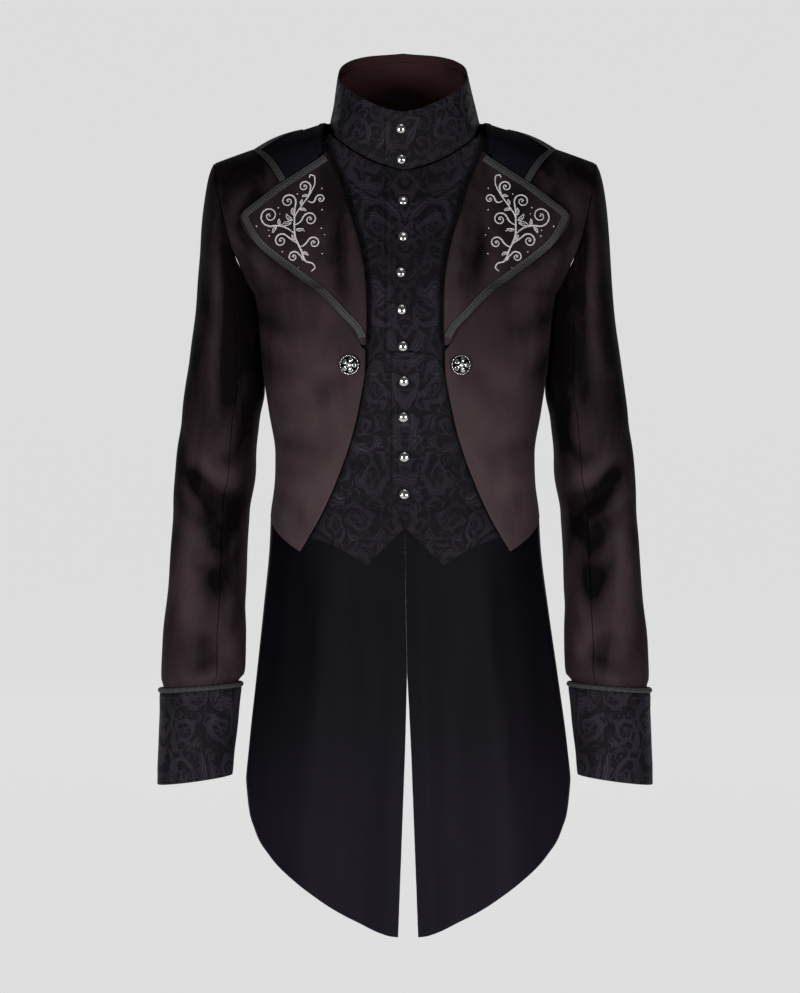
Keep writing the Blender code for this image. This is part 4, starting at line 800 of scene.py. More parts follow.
GREY_BRAID = braided("grey_braid", (0.0020, 0.0017, 0.0021), (0.040, 0.0365, 0.040))
GREY_CORD = corded("grey_cord", (0.0075, 0.0068, 0.0080), (0.030, 0.028, 0.032))
SILVER_THREAD = corded("silver_thread", (0.34, 0.32, 0.32), (0.66, 0.63, 0.63), 0.0, 0.42, 1400.0)
DARK_THREAD = corded("dark_thread", (0.012, 0.010, 0.011), (0.045, 0.04, 0.042), 0.0, 0.5, 2000.0)
SILVER_METAL = silver("silver_metal")
print("finishes:", len(bpy.data.materials))

# %% [markdown]
# ## Coat fronts and backs
# The velvet body has two fronts and two backs, joined at the shoulders, the sides and the centre back. They
# could be one shell, but separate panels give real seams. The fronts pull softly from the large button and from
# the armhole, as the photograph shows, and the backs have the same soft creases at the waist.

# %% Fronts
FRONT_CREASES = (
    (196, -200, 146, -310, 12, 2.2, 16),
    (186, -215, 120, -256, 8, 1.4, 14),
    (160, -366, 84, -396, 6, 1.7, 15),
    (158, -404, 96, -424, -5, 1.4, 12),
    (205, -110, 194, -195, -5, 2.2, 11),
    (66, -296, 126, -352, 8, 1.3, 15),
    (142, -425, 116, -492, 4, 1.2, 14),
    (176, -70, 190, -150, 4, 1.2, 14),
)

# Painted light on the velvet body: a share for each level, at the front and at the side, darker high up and
# lighter lower down.
PAINTED_LIGHT_COLUMNS = ("z", "front", "side")
PAINTED_LIGHT_ROWS = (
    (20, 0.06, 0.04), (-40, 0.09, 0.06), (-90, 0.20, 0.12), (-140, 0.26, 0.16), (-200, 0.37, 0.24),
    (-280, 0.54, 0.40), (-380, 0.78, 0.60), (-520, 0.86, 0.66),
)
CREASE_SHADE = 0.16
# Painted shade and light on the body, given as creases: a painted shadow below the lapel's lower edge and two soft
# bands of painted light lower on the front.
FRONT_SHADES = (
    (196, -118, 98, -214, -4, 0.22, 13),
    (150, -250, 96, -330, 8, -0.08, 20),
    (120, -300, 90, -470, 4, -0.06, 24),
)

def coat_painted_light(points, pressed):
    """Painted light and shade on the velvet: darker high up and by the side, painted shade in troughs, painted
    light on ridges, and the painted bands of FRONT_SHADES.
    """
    x, z = np.abs(points[..., 0]), points[..., 2]
    keys = table(PAINTED_LIGHT_COLUMNS, PAINTED_LIGHT_ROWS[::-1])
    front, side = (smooth(keys["z"], keys[part])(np.clip(z, -519, 19)) for part in ("front", "side"))
    shade = CREASE_SHADE * pressed + creases(x, z, FRONT_SHADES, 4)
    return front + (side - front) * ease(x, 120, 200) - shade

def coat_edge_x(z):
    """Where the coat front's wall ends: behind the lapel's roll above the break."""
    return FRONT_EDGE["x"](z) + LAPEL_ROLL * (1 - ease(-z, -BREAK_Z, -CLOSED_EDGE_Z))

def coat_front_grid(side_seed):
    levels = np.concatenate([
        [12.0, -2.0, -18.0, -38.0, -62.0, -92.0, -126.0, -162.0, -198.0, -229.0],
        [BREAK_Z, CLOSED_EDGE_Z],
        np.linspace(-290.0, FRONT_TIP_Z, 7),
    ])
    t = spread(96, 500.0) * SIDE_ROWS
    z = np.interp(t, np.arange(len(levels)), levels)
    left = edge_in_view(coat_edge_x(z), z)
    left[0, 1] = GAP
    right = np.stack([np.ones(len(t)), GAP + (SIDE_END - GAP) * t / SIDE_ROWS], axis=-1)
    s = spread(54, 180.0)[:, None]
    across, down = (left[:, None] * (1 - s) + right[:, None] * s).transpose(2, 0, 1)
    normals = form_normal(across, down)
    points = on_form(across, down)
    rim = ease(edge_distance(points), 4.0, 26.0)
    pressed = creases(points[..., 0], points[..., 2], FRONT_CREASES, side_seed)
    pressed = pressed - 0.35 * soft_noise(points[..., 0], points[..., 2], 90.0, side_seed)
    points[:, -1, 1] -= 0.5 * GAP
    return points - normals * (pressed * rim)[..., None], normals, coat_painted_light(points, pressed * rim)

def both_sides(make, name, wall, finish, slot, uv_of, **more):
    """Makes the wearer's left and right piece; each has creases of its own."""
    pieces = []
    for seed, side, turn in ((3, "left", np.asarray), (8, "right", mirrored)):
        points, outward, painted_light_and_hollows = make(seed)
        piece = panel(
            f"{name}_{side}_cloth", turn(points), turn(outward), wall, finish, uv_of(points), painted_light_and_hollows, **more
        )
        pieces.append(stands_for(piece, slot, f"{name}_{side}"))
    return pieces

def face_chart(points):
    """A chart for patterns on the front: across and up."""
    return points[..., 0], points[..., 2]

for piece in both_sides(coat_front_grid, "coat_front", VELVET_WALL, COAT_VELVET, "velvet", face_chart):
    cut(piece)
print("fronts made")

# %% Backs
BACK_CREASES = (
    (150, -372, 70, -398, 6, 1.4, 12),
    (148, -405, 60, -418, -5, 1.2, 11),
    (190, -200, 120, -300, -10, 1.6, 15),
    (205, -110, 170, -190, -6, 1.5, 12),
    (40, -380, 10, -396, 2, 0.8, 9),
)

def back_neck_down(x):
    """The back neckline, as a row of the form for each distance from the middle line."""
    return -BACK_NECK_DOWN * np.sqrt(np.clip(1 - (np.asarray(x) / NECK_X) ** 2, 0, 1))

def coat_back_grid(side_seed):
    shares = spread(50, 215.0)
    neck_share = 0.38
    neck_part = np.clip(shares / neck_share, 0, 1)
    neck_x = NECK_X * np.sin(neck_part * math.pi / 2)
    top_down = np.where(shares < neck_share, back_neck_down(neck_x), 0.0) - GAP
    neck_across = across_of(neck_x, top_down)
    beyond = np.clip((shares - neck_share) / (1 - neck_share), 0, 1)
    shoulder = across_of(NECK_X, -GAP)
    top_across = np.where(shares < neck_share, neck_across, shoulder + (1 - shoulder) * beyond)
    t = spread(84, 470.0)[:, None]
    down = (1 - t) * top_down[None] - t * SIDE_END
    across = np.broadcast_to(top_across[None], down.shape)
    normals = form_normal(across, down)
    points = on_form(across, down)
    rim = ease(edge_distance(points), 4.0, 26.0)
    pressed = creases(points[..., 0], points[..., 2], BACK_CREASES, side_seed)
    pressed = pressed - 0.35 * soft_noise(points[..., 0], points[..., 2], 90.0, side_seed)
    points[:, -1, 1] += 0.5 * GAP
    points[:, 0, 0] += 0.6 * GAP
    return points - normals * (pressed * rim)[..., None], normals, coat_painted_light(points, pressed * rim)

for piece in both_sides(coat_back_grid, "coat_back", VELVET_WALL, COAT_VELVET, "velvet", face_chart):
    cut(piece)
print("backs made")

# %% [markdown]
# ## Tails
# The tails hang free from the waist: velvet outside, satin inside, open at the centre back. Long soft folds
# fall from the waist and the edges of the vent pucker where two cloths of different stretch are sewn together.
# A cloth simulation could find such folds, but they would fall anywhere; here they follow the photograph.

# %% Velvet tails and satin linings
TAIL_CREASES = (
    (30, -520, 46, -900, 6, 1.6, 18), (78, -500, 96, -880, -8, 1.8, 20),
    (118, -540, 140, -860, 6, 1.5, 18), (150, -480, 172, -760, 4, 1.3, 15),
    (58, -700, 70, -940, 4, 1.2, 13), (100, -760, 112, -900, 3, 1.0, 12),
)

def tail_point(across, z):
    """A point of a tail's outer face: across 0 is the centre back and 1 the side edge."""
    square, reach = TAIL["square"](z), TAIL["reach"](z)
    end_angle = np.arcsin(np.clip(reach ** (square / 2), 0, 1))
    angle = across * end_angle
    ratio = np.clip(np.sin(angle), 0, 1) ** (2 / square) / reach
    depth = 1 - np.clip(np.cos(angle), 0, 1) ** (2 / square)
    end_depth = 1 - np.clip(np.cos(end_angle), 0, 1) ** (2 / square)
    vent = VENT_HALF_GAP * np.clip((VENT_TOP_Z - z) / (VENT_TOP_Z - TAIL_TIP_Z), 0, 1) + 0.6 * GAP
    x = vent + (TAIL["side_x"](z) - vent) * ratio
    y = TAIL["mid_y"](z) - (TAIL["mid_y"](z) - TAIL["side_y"](z)) * depth / end_depth
    wave = np.sin(TAIL_WAVE_START + TAIL_WAVE_TURNS * ratio**TAIL_WAVE_POWER)
    y = y + TAIL["fold"](z) * wave * ease(ratio, 0.0, 0.12)
    return np.stack([x, y, z + np.zeros(np.shape(across))], axis=-1)

def tail_normals(across, z):
    step = 0.01
    low = tail_point(np.clip(across - step, 0, 1), z)
    high = tail_point(np.clip(across + step, 0, 1), z)
    above = tail_point(across, z + 1.0)
    below = tail_point(across, z - 1.0)
    normal = np.cross(high - low, below - above)
    normal /= np.linalg.norm(normal, axis=-1, keepdims=True)
    return normal * np.where(normal[..., 1:2] < 0, -1.0, 1.0)

def vent_pucker(points, seed):
    """Small ridges across the edge of the vent, strongest at the edge itself."""
    x, z = points[..., 0], points[..., 2]
    vent = VENT_HALF_GAP * np.clip((VENT_TOP_Z - z) / (VENT_TOP_Z - TAIL_TIP_Z), 0, 1)
    near = np.exp(-np.clip(x - vent, 0, None) / 9.0) * ease(-z, -VENT_TOP_Z, -VENT_TOP_Z + 40)
    step = 15.0 + 3.0 * soft_noise(0 * x, z, 130.0, seed)
    return 0.9 * near * np.sin(2 * math.pi * (z + 0.35 * x) / step)

def tail_grid(side_seed, inside):
    """A tail's velvet face, or with inside its lining's hidden face."""
    across = spread(58, 200.0)[None]
    top = WAIST_JOIN_Z - 1.1 - 2.0 * (1 - across**2)
    low = TAIL_HEM["z"](across)
    t = spread(100, 500.0)[:, None]
    z = top + (low - top) * t
    across = np.broadcast_to(across, z.shape)
    points = tail_point(across, z)
    normals = tail_normals(across, z)
    rim = ease(edge_distance(points), 2.0, 20.0)
    sewn = ease(points[..., 2], VENT_TOP_Z - 5, VENT_TOP_Z + 5) * (1 - ease(across, 0.0, 0.1))
    points[..., 0] -= 0.6 * GAP * sewn
    falls = ease(-points[..., 2], -WAIST_JOIN_Z, -WAIST_JOIN_Z + 90)
    pressed = creases(points[..., 0], points[..., 2], TAIL_CREASES, side_seed) * falls * (0.35 + 0.65 * rim)
    pressed = pressed - 0.5 * soft_noise(points[..., 0], points[..., 2], 120.0, side_seed) * rim
    pressed = pressed + vent_pucker(points, side_seed)
    points = points - normals * pressed[..., None]
    if inside:
        points = points - normals * (VELVET_WALL + GAP)
    above_vent = ease(points[:, :1, 2], VENT_TOP_Z, VENT_TOP_Z + 10) * (1 - ease(across, 0.0, 0.08))
    points[..., 0] -= points[:, :1, 0] * above_vent
    # Painted light and shade for the velvet tail: darker in troughs and lighter on ridges.
    return points, normals, 0.55 - CREASE_SHADE * pressed

for seed, side, turn in ((3, "left", np.asarray), (8, "right", mirrored)):
    for name, inside, wall, finish, slot in (
        ("tail", False, VELVET_WALL, COAT_VELVET, "velvet"),
        ("tail_lining", True, LINING_WALL, BLUE_SATIN, "satin"),
    ):
        points, outward, painted_light_and_hollows = tail_grid(seed, inside)
        chart = (points[..., 0], points[..., 2])
        points, outward = turn(points), turn(outward)
        points[..., 0] += TAIL_SWING * ease(-points[..., 2], -WAIST_JOIN_Z, -TAIL_HEM_ROWS[-1][1])
        piece = panel(f"{name}_{side}_cloth", points, outward, wall, finish, chart, painted_light_and_hollows)
        cut(stands_for(piece, slot, f"{name}_{side}"))
print("tails made")

# %% [markdown]
# ## Lapels
# A lapel is cut in one with its facing and rolls over the coat's edge, so it springs at the roll line and lies
# flat at its points. It could be a flat shape with a Simple Deform, but a section that turns over the roll
# line at each level gives the true roll, tight at the break and open above.

# %% The rolled lapels
LAPEL_CREASES = (
    (88, -70, 74, -190, 6, 0.9, 13), (128, -80, 104, -190, 4, 0.7, 14),
    (160, -100, 150, -140, 3, 0.5, 10),
)

def lapel_height(x, z):
    """How high the lapel's face lies over the coat: it springs from the roll and then lies flat."""
    from_roll = np.clip(x - FRONT_EDGE["x"](z), 0, None)
    return LAPEL_WALL + LAYER_GAP + ROLL_SPRING * np.exp(-from_roll / ROLL_SPREAD)

def lapel_grid(side_seed):
    """The lapel's outer and inner face, section by section over the roll."""
    edge = np.array(LAPEL_EDGE_ROWS)
    run = np.concatenate([[0], np.cumsum(np.linalg.norm(np.diff(edge, axis=0), axis=1))])
    parts = spread(90, 230.0)
    edge_x = smooth(run / run[-1], edge[:, 0])(parts)
    edge_z = smooth(run / run[-1], edge[:, 1])(parts)
    roll_z = LAPEL_TOP_Z + (BREAK_Z - LAPEL_TOP_Z) * parts
    roll_x = FRONT_EDGE["x"](roll_z)
    width = edge_x - roll_x
    turn = np.minimum(ROLL_TURN, 0.6 * width)
    shares = spread(44, 90.0)
    flat_x = roll_x[:, None] + turn[:, None] + (width - turn)[:, None] * shares
    flat_z = roll_z[:, None] + (edge_z - roll_z)[:, None] * (flat_x - roll_x[:, None]) / width[:, None]
    gorge = table(GORGE_COLUMNS, GORGE_ROWS)
    bend = np.interp(flat_x[0], gorge["x"], gorge["z"]) - flat_z[0]
    flat_z = flat_z + bend[None] * (1 - ease(parts, 0.0, 0.35))[:, None]
    flat_height = lapel_height(flat_x, flat_z)
    keys = np.arange(4.0)
    fine = np.linspace(0, 3, 13)[:-1]
    turned_x = np.array([
        roll_x[i] + smooth(keys, (1.2, -0.7, 0.3, turn[i]))(fine) for i in range(len(parts))
    ])
    turned_height = np.array([
        smooth(keys, (-1.4, 1.2, 4.4, flat_height[i, 0]))(fine) for i in range(len(parts))
    ])
    turned_z = np.repeat(roll_z[:, None], len(fine), axis=1)
    xs = np.concatenate([turned_x, flat_x], axis=1)
    zs = np.concatenate([turned_z, flat_z], axis=1)
    heights = np.concatenate([turned_height, flat_height], axis=1)
    across, down = form_place(xs, zs)
    points = on_form(across, down, heights)
    lies = ease(xs - roll_x[:, None], 4.0, 20.0) * ease(edge_distance(points), 3.0, 18.0)
    heights = heights - lies * creases(xs, zs, LAPEL_CREASES, side_seed)
    points = on_form(across, down, heights)
    ahead = np.stack([np.gradient(xs, axis=1), np.gradient(heights, axis=1)])
    ahead /= np.maximum(np.linalg.norm(ahead, axis=0), 1e-9)
    inner_across, inner_down = form_place(xs + ahead[1] * LAPEL_WALL, zs)
    inner = on_form(inner_across, inner_down, heights - ahead[0] * LAPEL_WALL)
    return points, form_normal(across, down), inner

# Painted light on the lapels, darker high up and lighter near the break, with a band of painted shade along the
# roll and a band of painted light beside it (LAPEL_SHADES).
LAPEL_PAINTED_LIGHT = ((-270, 0.58), (-225, 0.50), (-180, 0.34), (-130, 0.22), (-60, 0.17))
LAPEL_SHADES = (
    (84, -110, 72, -226, 4, 0.20, 11),
    (66, -90, 52, -230, 2, -0.12, 8),
)
for seed, side, turn in ((3, "left", np.asarray), (8, "right", mirrored)):
    points, outward, inner = (turn(grid) for grid in lapel_grid(seed))
    chart = (np.abs(points[..., 0]), points[..., 2])
    level, light = np.array(LAPEL_PAINTED_LIGHT).T
    painted_light_and_hollows = smooth(level, light)(np.clip(chart[1], level[0], level[-1])) - creases(*chart, LAPEL_SHADES, seed)
    piece = panel(
        f"lapel_{side}_cloth", points, outward, LAPEL_WALL, COAT_VELVET, chart, painted_light_and_hollows, inner=inner,
        rounding=0.5
    )
    cut(stands_for(piece, "velvet", f"lapel_{side}"))
print("lapels made")

# %% [markdown]
# ## The upper collar
# The black upper collar stands up beside the stand collar, folds over and lies on the shoulders down to the
# notch. Its rows follow the neck, and each is drawn out to the free edge.

# %% Fall collar
def fall_collar_rows(steps):
    """Inner and outer edge of the fall collar, from the centre back to its front end at the gorge."""
    fall = smooth_table(FALL_COLUMNS, FALL_ROWS)
    last_part = FALL_ROWS[-1][0]
    gorge = table(GORGE_COLUMNS, GORGE_ROWS)
    seam_z = np.interp((FALL_FRONT_X, NOTCH_X), gorge["x"], gorge["z"]) + 2 * GAP
    behind = np.stack([across_of(fall["x"](steps), fall["down"](steps)), fall["down"](steps)], axis=-1)
    ends = edge_in_view((FALL_CORNER[0], NOTCH_X), (FALL_CORNER[1], seam_z[1]))
    crossing = behind[-1]
    parts = (last_part, FALL_CORNER_PART, 1.0)
    corners = np.array([crossing, *ends])
    ahead = np.stack([np.interp(steps, parts, corners[:, i]) for i in (0, 1)], axis=-1)
    outer = np.where((steps <= last_part)[:, None], behind, ahead)
    turn = np.radians(180 - 90 * np.clip(steps / SHOULDER_PART, 0, 1))
    x = NECK_X * np.sin(turn)
    neck = np.stack([across_of(x, back_neck_down(x)), back_neck_down(x)], axis=-1)
    front_z = np.interp(steps, (SHOULDER_PART, 1.0), (NECKLINE_ROWS[-1][1] - 1.0, seam_z[0]))
    front = edge_in_view(np.full(len(steps), FALL_FRONT_X), front_z)
    inner = np.where((steps <= SHOULDER_PART)[:, None], neck, front)
    return inner, outer

def half_steps(count):
    """Shares from the centre back to the front end, closer at the front end's edge and at the corner."""
    extra = 1 - np.array(EDGE_STEPS)[1:] / 260.0
    corner = FALL_CORNER_PART + np.array([-0.006, 0.0, 0.006])
    return np.unique(np.concatenate([np.linspace(0, 1, count), extra, corner]))

def fall_collar_grid():
    steps = half_steps(90)
    inner, outer = fall_collar_rows(steps)
    normal = form_normal(inner[:, 0], inner[:, 1])
    foot = form_point(inner[:, 0], inner[:, 1])
    from_neck = foot * np.array([1.0, 1.0, 0.0])
    from_neck /= np.linalg.norm(from_neck, axis=1, keepdims=True)
    front = ease(steps, SHOULDER_PART, 1.0)[:, None]
    up = np.array([[0.0, 0.0, 1.0]]) * (1 - front) + normal * front
    up /= np.linalg.norm(up, axis=1, keepdims=True)
    high = FALL_BACK_HIGH + (FALL_SIDE_HIGH - FALL_BACK_HIGH) * ease(steps, 0.1, SHOULDER_PART)
    knots = [
        foot + from_neck * out + up * (high * rise)[:, None] for out,
        rise in ((2.6, 0.35), (3.2, 0.9), (6.5, 1.05))
    ]
    shares = np.concatenate([np.linspace(0.15, 0.95, 20), 1 - np.array(EDGE_STEPS[::-1]) / 60.0])
    for share in shares:
        place = inner + (outer - inner) * share
        knots.append(on_form(place[:, 0], place[:, 1], FALL_LIES + (high - 3.0) * (1 - share) ** 2.5))
    grid = np.stack(knots, axis=1)
    keys = np.arange(5.0)
    turned = np.stack([bent_at(keys, grid[:, :5], key) for key in np.linspace(0, 4, 15)], axis=1)
    half = np.concatenate([turned, grid[:, 5:]], axis=1)
    outward = np.repeat(normal[:, None], half.shape[1], axis=1)
    return np.concatenate([mirrored(half)[:0:-1], half]), np.concatenate([mirrored(outward)[:0:-1], outward])

def bent_at(keys, knots, key):
    """A point of a smooth curve through a few knots (Catmull-Rom)."""
    i = min(int(key), len(keys) - 2)
    u = key - i
    before = knots[:, max(i - 1, 0)]
    start, end = knots[:, i], knots[:, i + 1]
    after = knots[:, min(i + 2, len(keys) - 1)]
    lead, trail = (end - before) / 2, (after - start) / 2
    return (
        (2 * u**3 - 3 * u**2 + 1) * start
        + (u**3 - 2 * u**2 + u) * lead
        + (3 * u**2 - 2 * u**3) * end
        + (u**3 - u**2) * trail
    )

PADDING = 1.5
points, outward = fall_collar_grid()
chart = (run_along(points, 0), run_along(points, 1))
padding = PADDING * ease(edge_distance(points), 2.0, 8.0)
inner = points - outward * (LAPEL_WALL + padding)[..., None]
collar = panel(
    "collar_fall_cloth", points, outward, LAPEL_WALL, COLLAR_VELVET, chart, inner=inner, rounding=0.5
)
cut(stands_for(collar, "fall_velvet", "collar_fall"))
print("upper collar made")

# %% [markdown]
# ## Waistcoat and waist panel
# Under the coat is a mock waistcoat of brocade: two upper fronts that lap at the middle and a waist panel with
# rounded corners and a pointed hem. Each is filled between its four drawn edges (a Coons patch), which a
# pattern cutter would call truing the piece: the edges are exact, and the inside follows them.

# %% Patches between four edges
def vest_depth(across):
    """How far the waistcoat's outer face lies inside the coat's."""
    side = ease(np.abs(across), 0.45, 0.95)
    return VEST_MIDDLE_DEPTH + (VEST_SIDE_DEPTH - VEST_MIDDLE_DEPTH) * side

def panel_top_z(x):
    top = table(PANEL_TOP_COLUMNS, PANEL_TOP_ROWS)
    return np.interp(np.abs(x), top["x"], top["z"])

def overlap_rise(x):
    """The wearer's left side lies over the right one, so it rises near its front edge."""
    return OVERLAP_RISE * (1 - ease(x, 7.0, 27.0))

def level_rise(x):
    return np.zeros(np.shape(x))

def top_to_bottom(start, end, t):
    return start + (end - start) * t

def patch(top, bottom, left, right, t, s):
    """Fills four edges, each a list of (across, down), with a grid of places (a Coons patch)."""
    t, s = t[:, None, None], s[None, :, None]
    ruled = (1 - t) * top[None] + t * bottom[None] + (1 - s) * left[:, None] + s * right[:, None]
    corners = (1 - t) * ((1 - s) * top[0] + s * top[-1]) + t * ((1 - s) * bottom[0] + s * bottom[-1])
    grid = ruled - corners
    return grid[..., 0], grid[..., 1]

INNER_COLUMNS = 6.0
ALL_COLUMNS = 10.0

def column_places(count):
    """Columns from the closing edge to the side seam: 0 to 6 are drawn, 6 to 10 run on evenly."""
    near, far = np.array(EDGE_STEPS) / 12.0, np.array(EDGE_STEPS) / 28.0
    between = np.linspace(near[-1], ALL_COLUMNS - far[-1], count)[1:-1]
    return np.concatenate([near, between, ALL_COLUMNS - far[::-1]])

def edge_along(columns, xs, level, beyond):
    """An edge through front-view points up to column 6, then straight on through given places."""
    drawn = np.interp(columns, np.arange(len(xs)), xs)
    places = edge_in_view(drawn, level(drawn))
    corner = edge_in_view([xs[-1]], level(np.array([xs[-1]])))[0]
    keys = np.array([INNER_COLUMNS, *(key for key, _ in beyond)])
    run = np.array([corner, *(place for _, place in beyond)])
    outer = np.stack([np.interp(columns, keys, run[:, i]) for i in (0, 1)], axis=-1)
    return np.where((columns <= INNER_COLUMNS)[:, None], places, outer), corner

VEST_CREASES = (
    (60, -244, 12, -250, 4, 0.9, 9), (56, -204, 14, -222, -4, 1.0, 9), (58, -150, 12, -134, 4, 0.9, 10),
    (70, -96, 10, -88, -4, 0.8, 11), (12, -176, 50, -182, 3, 0.8, 9),
)
PANEL_CREASES = (
    (70, -352, 14, -346, 3, 1.0, 9), (60, -318, 14, -306, 4, 0.8, 8), (84, -410, 12, -394, -4, 1.1, 10),
    (92, -452, 16, -438, 3, 0.9, 9), (20, -470, 40, -505, 3, 0.8, 9),
)

def vest_points(across, down, lift, rise, rows, seed):
    normals = form_normal(across, down)
    points = on_form(across, down, lift - vest_depth(across))
    points = points + normals * rise(points[..., 0])[..., None]
    still = ease(edge_distance(points), 3.0, 16.0)
    pressed = creases(
        points[..., 0], points[..., 2], rows, seed
    ) - 0.25 * soft_noise(points[..., 0], points[..., 2], 70.0, seed)
    return points - normals * (pressed * still)[..., None], normals

def waistcoat_grid(closing_x, side, rise, seed):
    """An upper front of the mock waistcoat, from its closing edge to the armhole and side seam."""
    columns = column_places(64)
    neck = table(NECKLINE_COLUMNS, NECKLINE_ROWS)
    laps = side > 0
    near = (-8.0, 8.0) if laps else (4.0, 14.0)
    neckline = smooth(neck["x"], neck["z"])
    shoulder = across_of(NECK_X, GAP)
    top, _ = edge_along(
        columns,
        np.array([closing_x, *near, 28.0, 52.0, 72.0, 84.0]),
        lambda x: neckline(np.abs(x)) - GAP,
        [(7.0, (float(shoulder), 2.0)), (ALL_COLUMNS, (SIDE_EDGE, 2.0))],
    )

    def low(x):
        tucked = 10.0 * (ease(x, 8.0, 16.0) if laps else np.ones(len(x))) - (1.5 if laps else 0.0)
        return panel_top_z(x) - tucked

    low_xs = np.array([closing_x, *near, 24.0, 33.0, 43.0, 62.0])
    side_place = (SIDE_EDGE, PANEL_SIDE_DOWN + 10.0)
    bottom, _ = edge_along(columns, low_xs, low, [(ALL_COLUMNS, side_place)])
    t = spread(84, 290.0)
    start_z = float(neckline(abs(closing_x))) - GAP
    left = edge_in_view(np.full(len(t), closing_x), top_to_bottom(start_z, low(low_xs[:1])[0], t))
    right = np.stack([np.full(len(t), SIDE_EDGE), top_to_bottom(top[-1, 1], bottom[-1, 1], t)], axis=-1)
    across, down = patch(top, bottom, left, right, t, columns / ALL_COLUMNS)
    return vest_points(across, down, 0.0, rise, VEST_CREASES, seed)

def waist_panel_grid(closing_x, end_x, rise, seed):
    """The lower front of the mock waistcoat: rounded at the top, with a pointed hem."""
    columns = column_places(64)
    hem = table(PANEL_HEM_COLUMNS, PANEL_HEM_ROWS)
    side_down = float(down_of(hem["x"][-1], hem["z"][-1]))
    top, _ = edge_along(
        columns,
        np.array([closing_x, 6.0, 18.0, 28.0, 35.0, 41.0, PANEL_SIDE_X]),
        panel_top_z,
        [(ALL_COLUMNS, (SIDE_EDGE, PANEL_SIDE_DOWN))],
    )
    bottom, _ = edge_along(
        columns,
        np.array([end_x, 7.0, 20.0, 34.0, 46.0, 62.0, 84.0]),
        lambda x: np.interp(np.abs(x), hem["x"], hem["z"]),
        [(ALL_COLUMNS, (SIDE_EDGE, side_down))],
    )
    t = spread(72, 200.0)
    left_x = closing_x + (end_x - closing_x) * ease(t, 0.8, 1.0)
    left = edge_in_view(left_x, top_to_bottom(float(panel_top_z(closing_x)), hem["z"][0], t))
    left[-1] = bottom[0]
    right = np.stack([np.full(len(t), SIDE_EDGE), top_to_bottom(top[-1, 1], bottom[-1, 1], t)], axis=-1)
    across, down = patch(top, bottom, left, right, t, columns / ALL_COLUMNS)
    return vest_points(across, down, WAIST_PANEL_RISE, rise, PANEL_CREASES, seed)

SHADE_UNDER_COAT = 0.1
EDGE_SHADE = 17.0
for name, side, grid in (
    ("waistcoat_left", 1, waistcoat_grid(-23.0, 1, overlap_rise, 3)),
    ("waistcoat_right", -1, waistcoat_grid(-4.0, -1, level_rise, 8)),
    ("waist_panel_left", 1, waist_panel_grid(-16.0, -1.5, overlap_rise, 3)),
    ("waist_panel_right", -1, waist_panel_grid(-4.0, 1.5, level_rise, 8)),
):
    points, outward = grid
    chart = (np.abs(points[..., 0]) + 0.031, points[..., 2])
    # Painted shade on the brocade: near black just under the coat's front edge, full colour EDGE_SHADE millimetres
    # clear of it.
    clear = FRONT_EDGE["x"](np.clip(points[..., 2], FRONT_TIP_Z, 0)) - np.abs(points[..., 0])
    painted_light_and_hollows = SHADE_UNDER_COAT + (0.5 - SHADE_UNDER_COAT) * ease(clear, -2.0, EDGE_SHADE)
    if side < 0:
        points, outward = mirrored(points), mirrored(outward)
    piece = panel(name + "_cloth", points, outward, BROCADE_WALL, DARK_BROCADE, chart, painted_light_and_hollows)
    cut(stands_for(piece, "brocade", name))
print("waistcoat made")

# %% [markdown]
# ## Stand collar
# A straight strip of brocade stands round the neck and laps at the throat. Inside it is faced with wine-red
# velvet up to a turned-in rim. Its foot follows the neckline and its rim an oval, so the two curves are
# given and the cloth spans them.

# %% Stand collar and facing
def side_of_neck(turn):
    """The foot of the stand collar where it passes the shoulder seam."""
    x = NECK_X * np.sin(turn)
    down = np.where(np.cos(turn) >= 0, 20.0, -BACK_NECK_DOWN) * np.abs(np.cos(turn))
    return on_form(across_of(x, down), down, -0.5 * VELVET_WALL)

def collar_base(angle):
    """The foot of the stand collar round the neck: angle 0 is the front and 90 the wearer's left."""
    angle = np.asarray(angle, float)
    turn = np.radians(angle)
    front = np.cos(turn) >= 0
    x = NECK_X * np.sin(turn)
    neck = table(NECKLINE_COLUMNS, NECKLINE_ROWS)
    level = smooth(neck["x"], neck["z"])(np.abs(x))
    across, down = form_place(x, level)
    depth = vest_depth(across)
    ahead = on_form(across, down, -depth)
    down_back = back_neck_down(x)
    behind = on_form(across_of(x, down_back), down_back, -0.5 * VELVET_WALL)
    side = ease(np.cos(turn), 0.0, 0.35)[..., None]
    return np.where(front[..., None], ahead * side + (1 - side) * side_of_neck(turn), behind)

def collar_rim(angle):
    turn = np.radians(np.asarray(angle, float))
    fold = np.degrees(np.arccos(np.clip(np.cos(turn), -1, 1)))
    x = RIM_CENTRE_X + RIM_HALF_WIDTH * np.sin(turn)
    y = RIM_CENTRE_Y - RIM_HALF_DEPTH * np.cos(turn)
    return np.stack([x, y, RIM["z"](fold)], axis=-1)

def collar_points(angles, heights, out=0.0):
    """The stand collar's face at each angle and share of its height, moved out by a distance."""
    base = collar_base(angles)
    rim = collar_rim(angles)
    share = np.asarray(heights, float)[:, None, None]
    points = base[None] + (rim - base)[None] * share
    turn = np.radians(np.asarray(angles, float))
    away = np.stack([np.sin(turn), -np.cos(turn), np.zeros(len(turn))], axis=-1)
    away = np.broadcast_to(away[None], points.shape)
    return points + away * np.asarray(out)[..., None], away

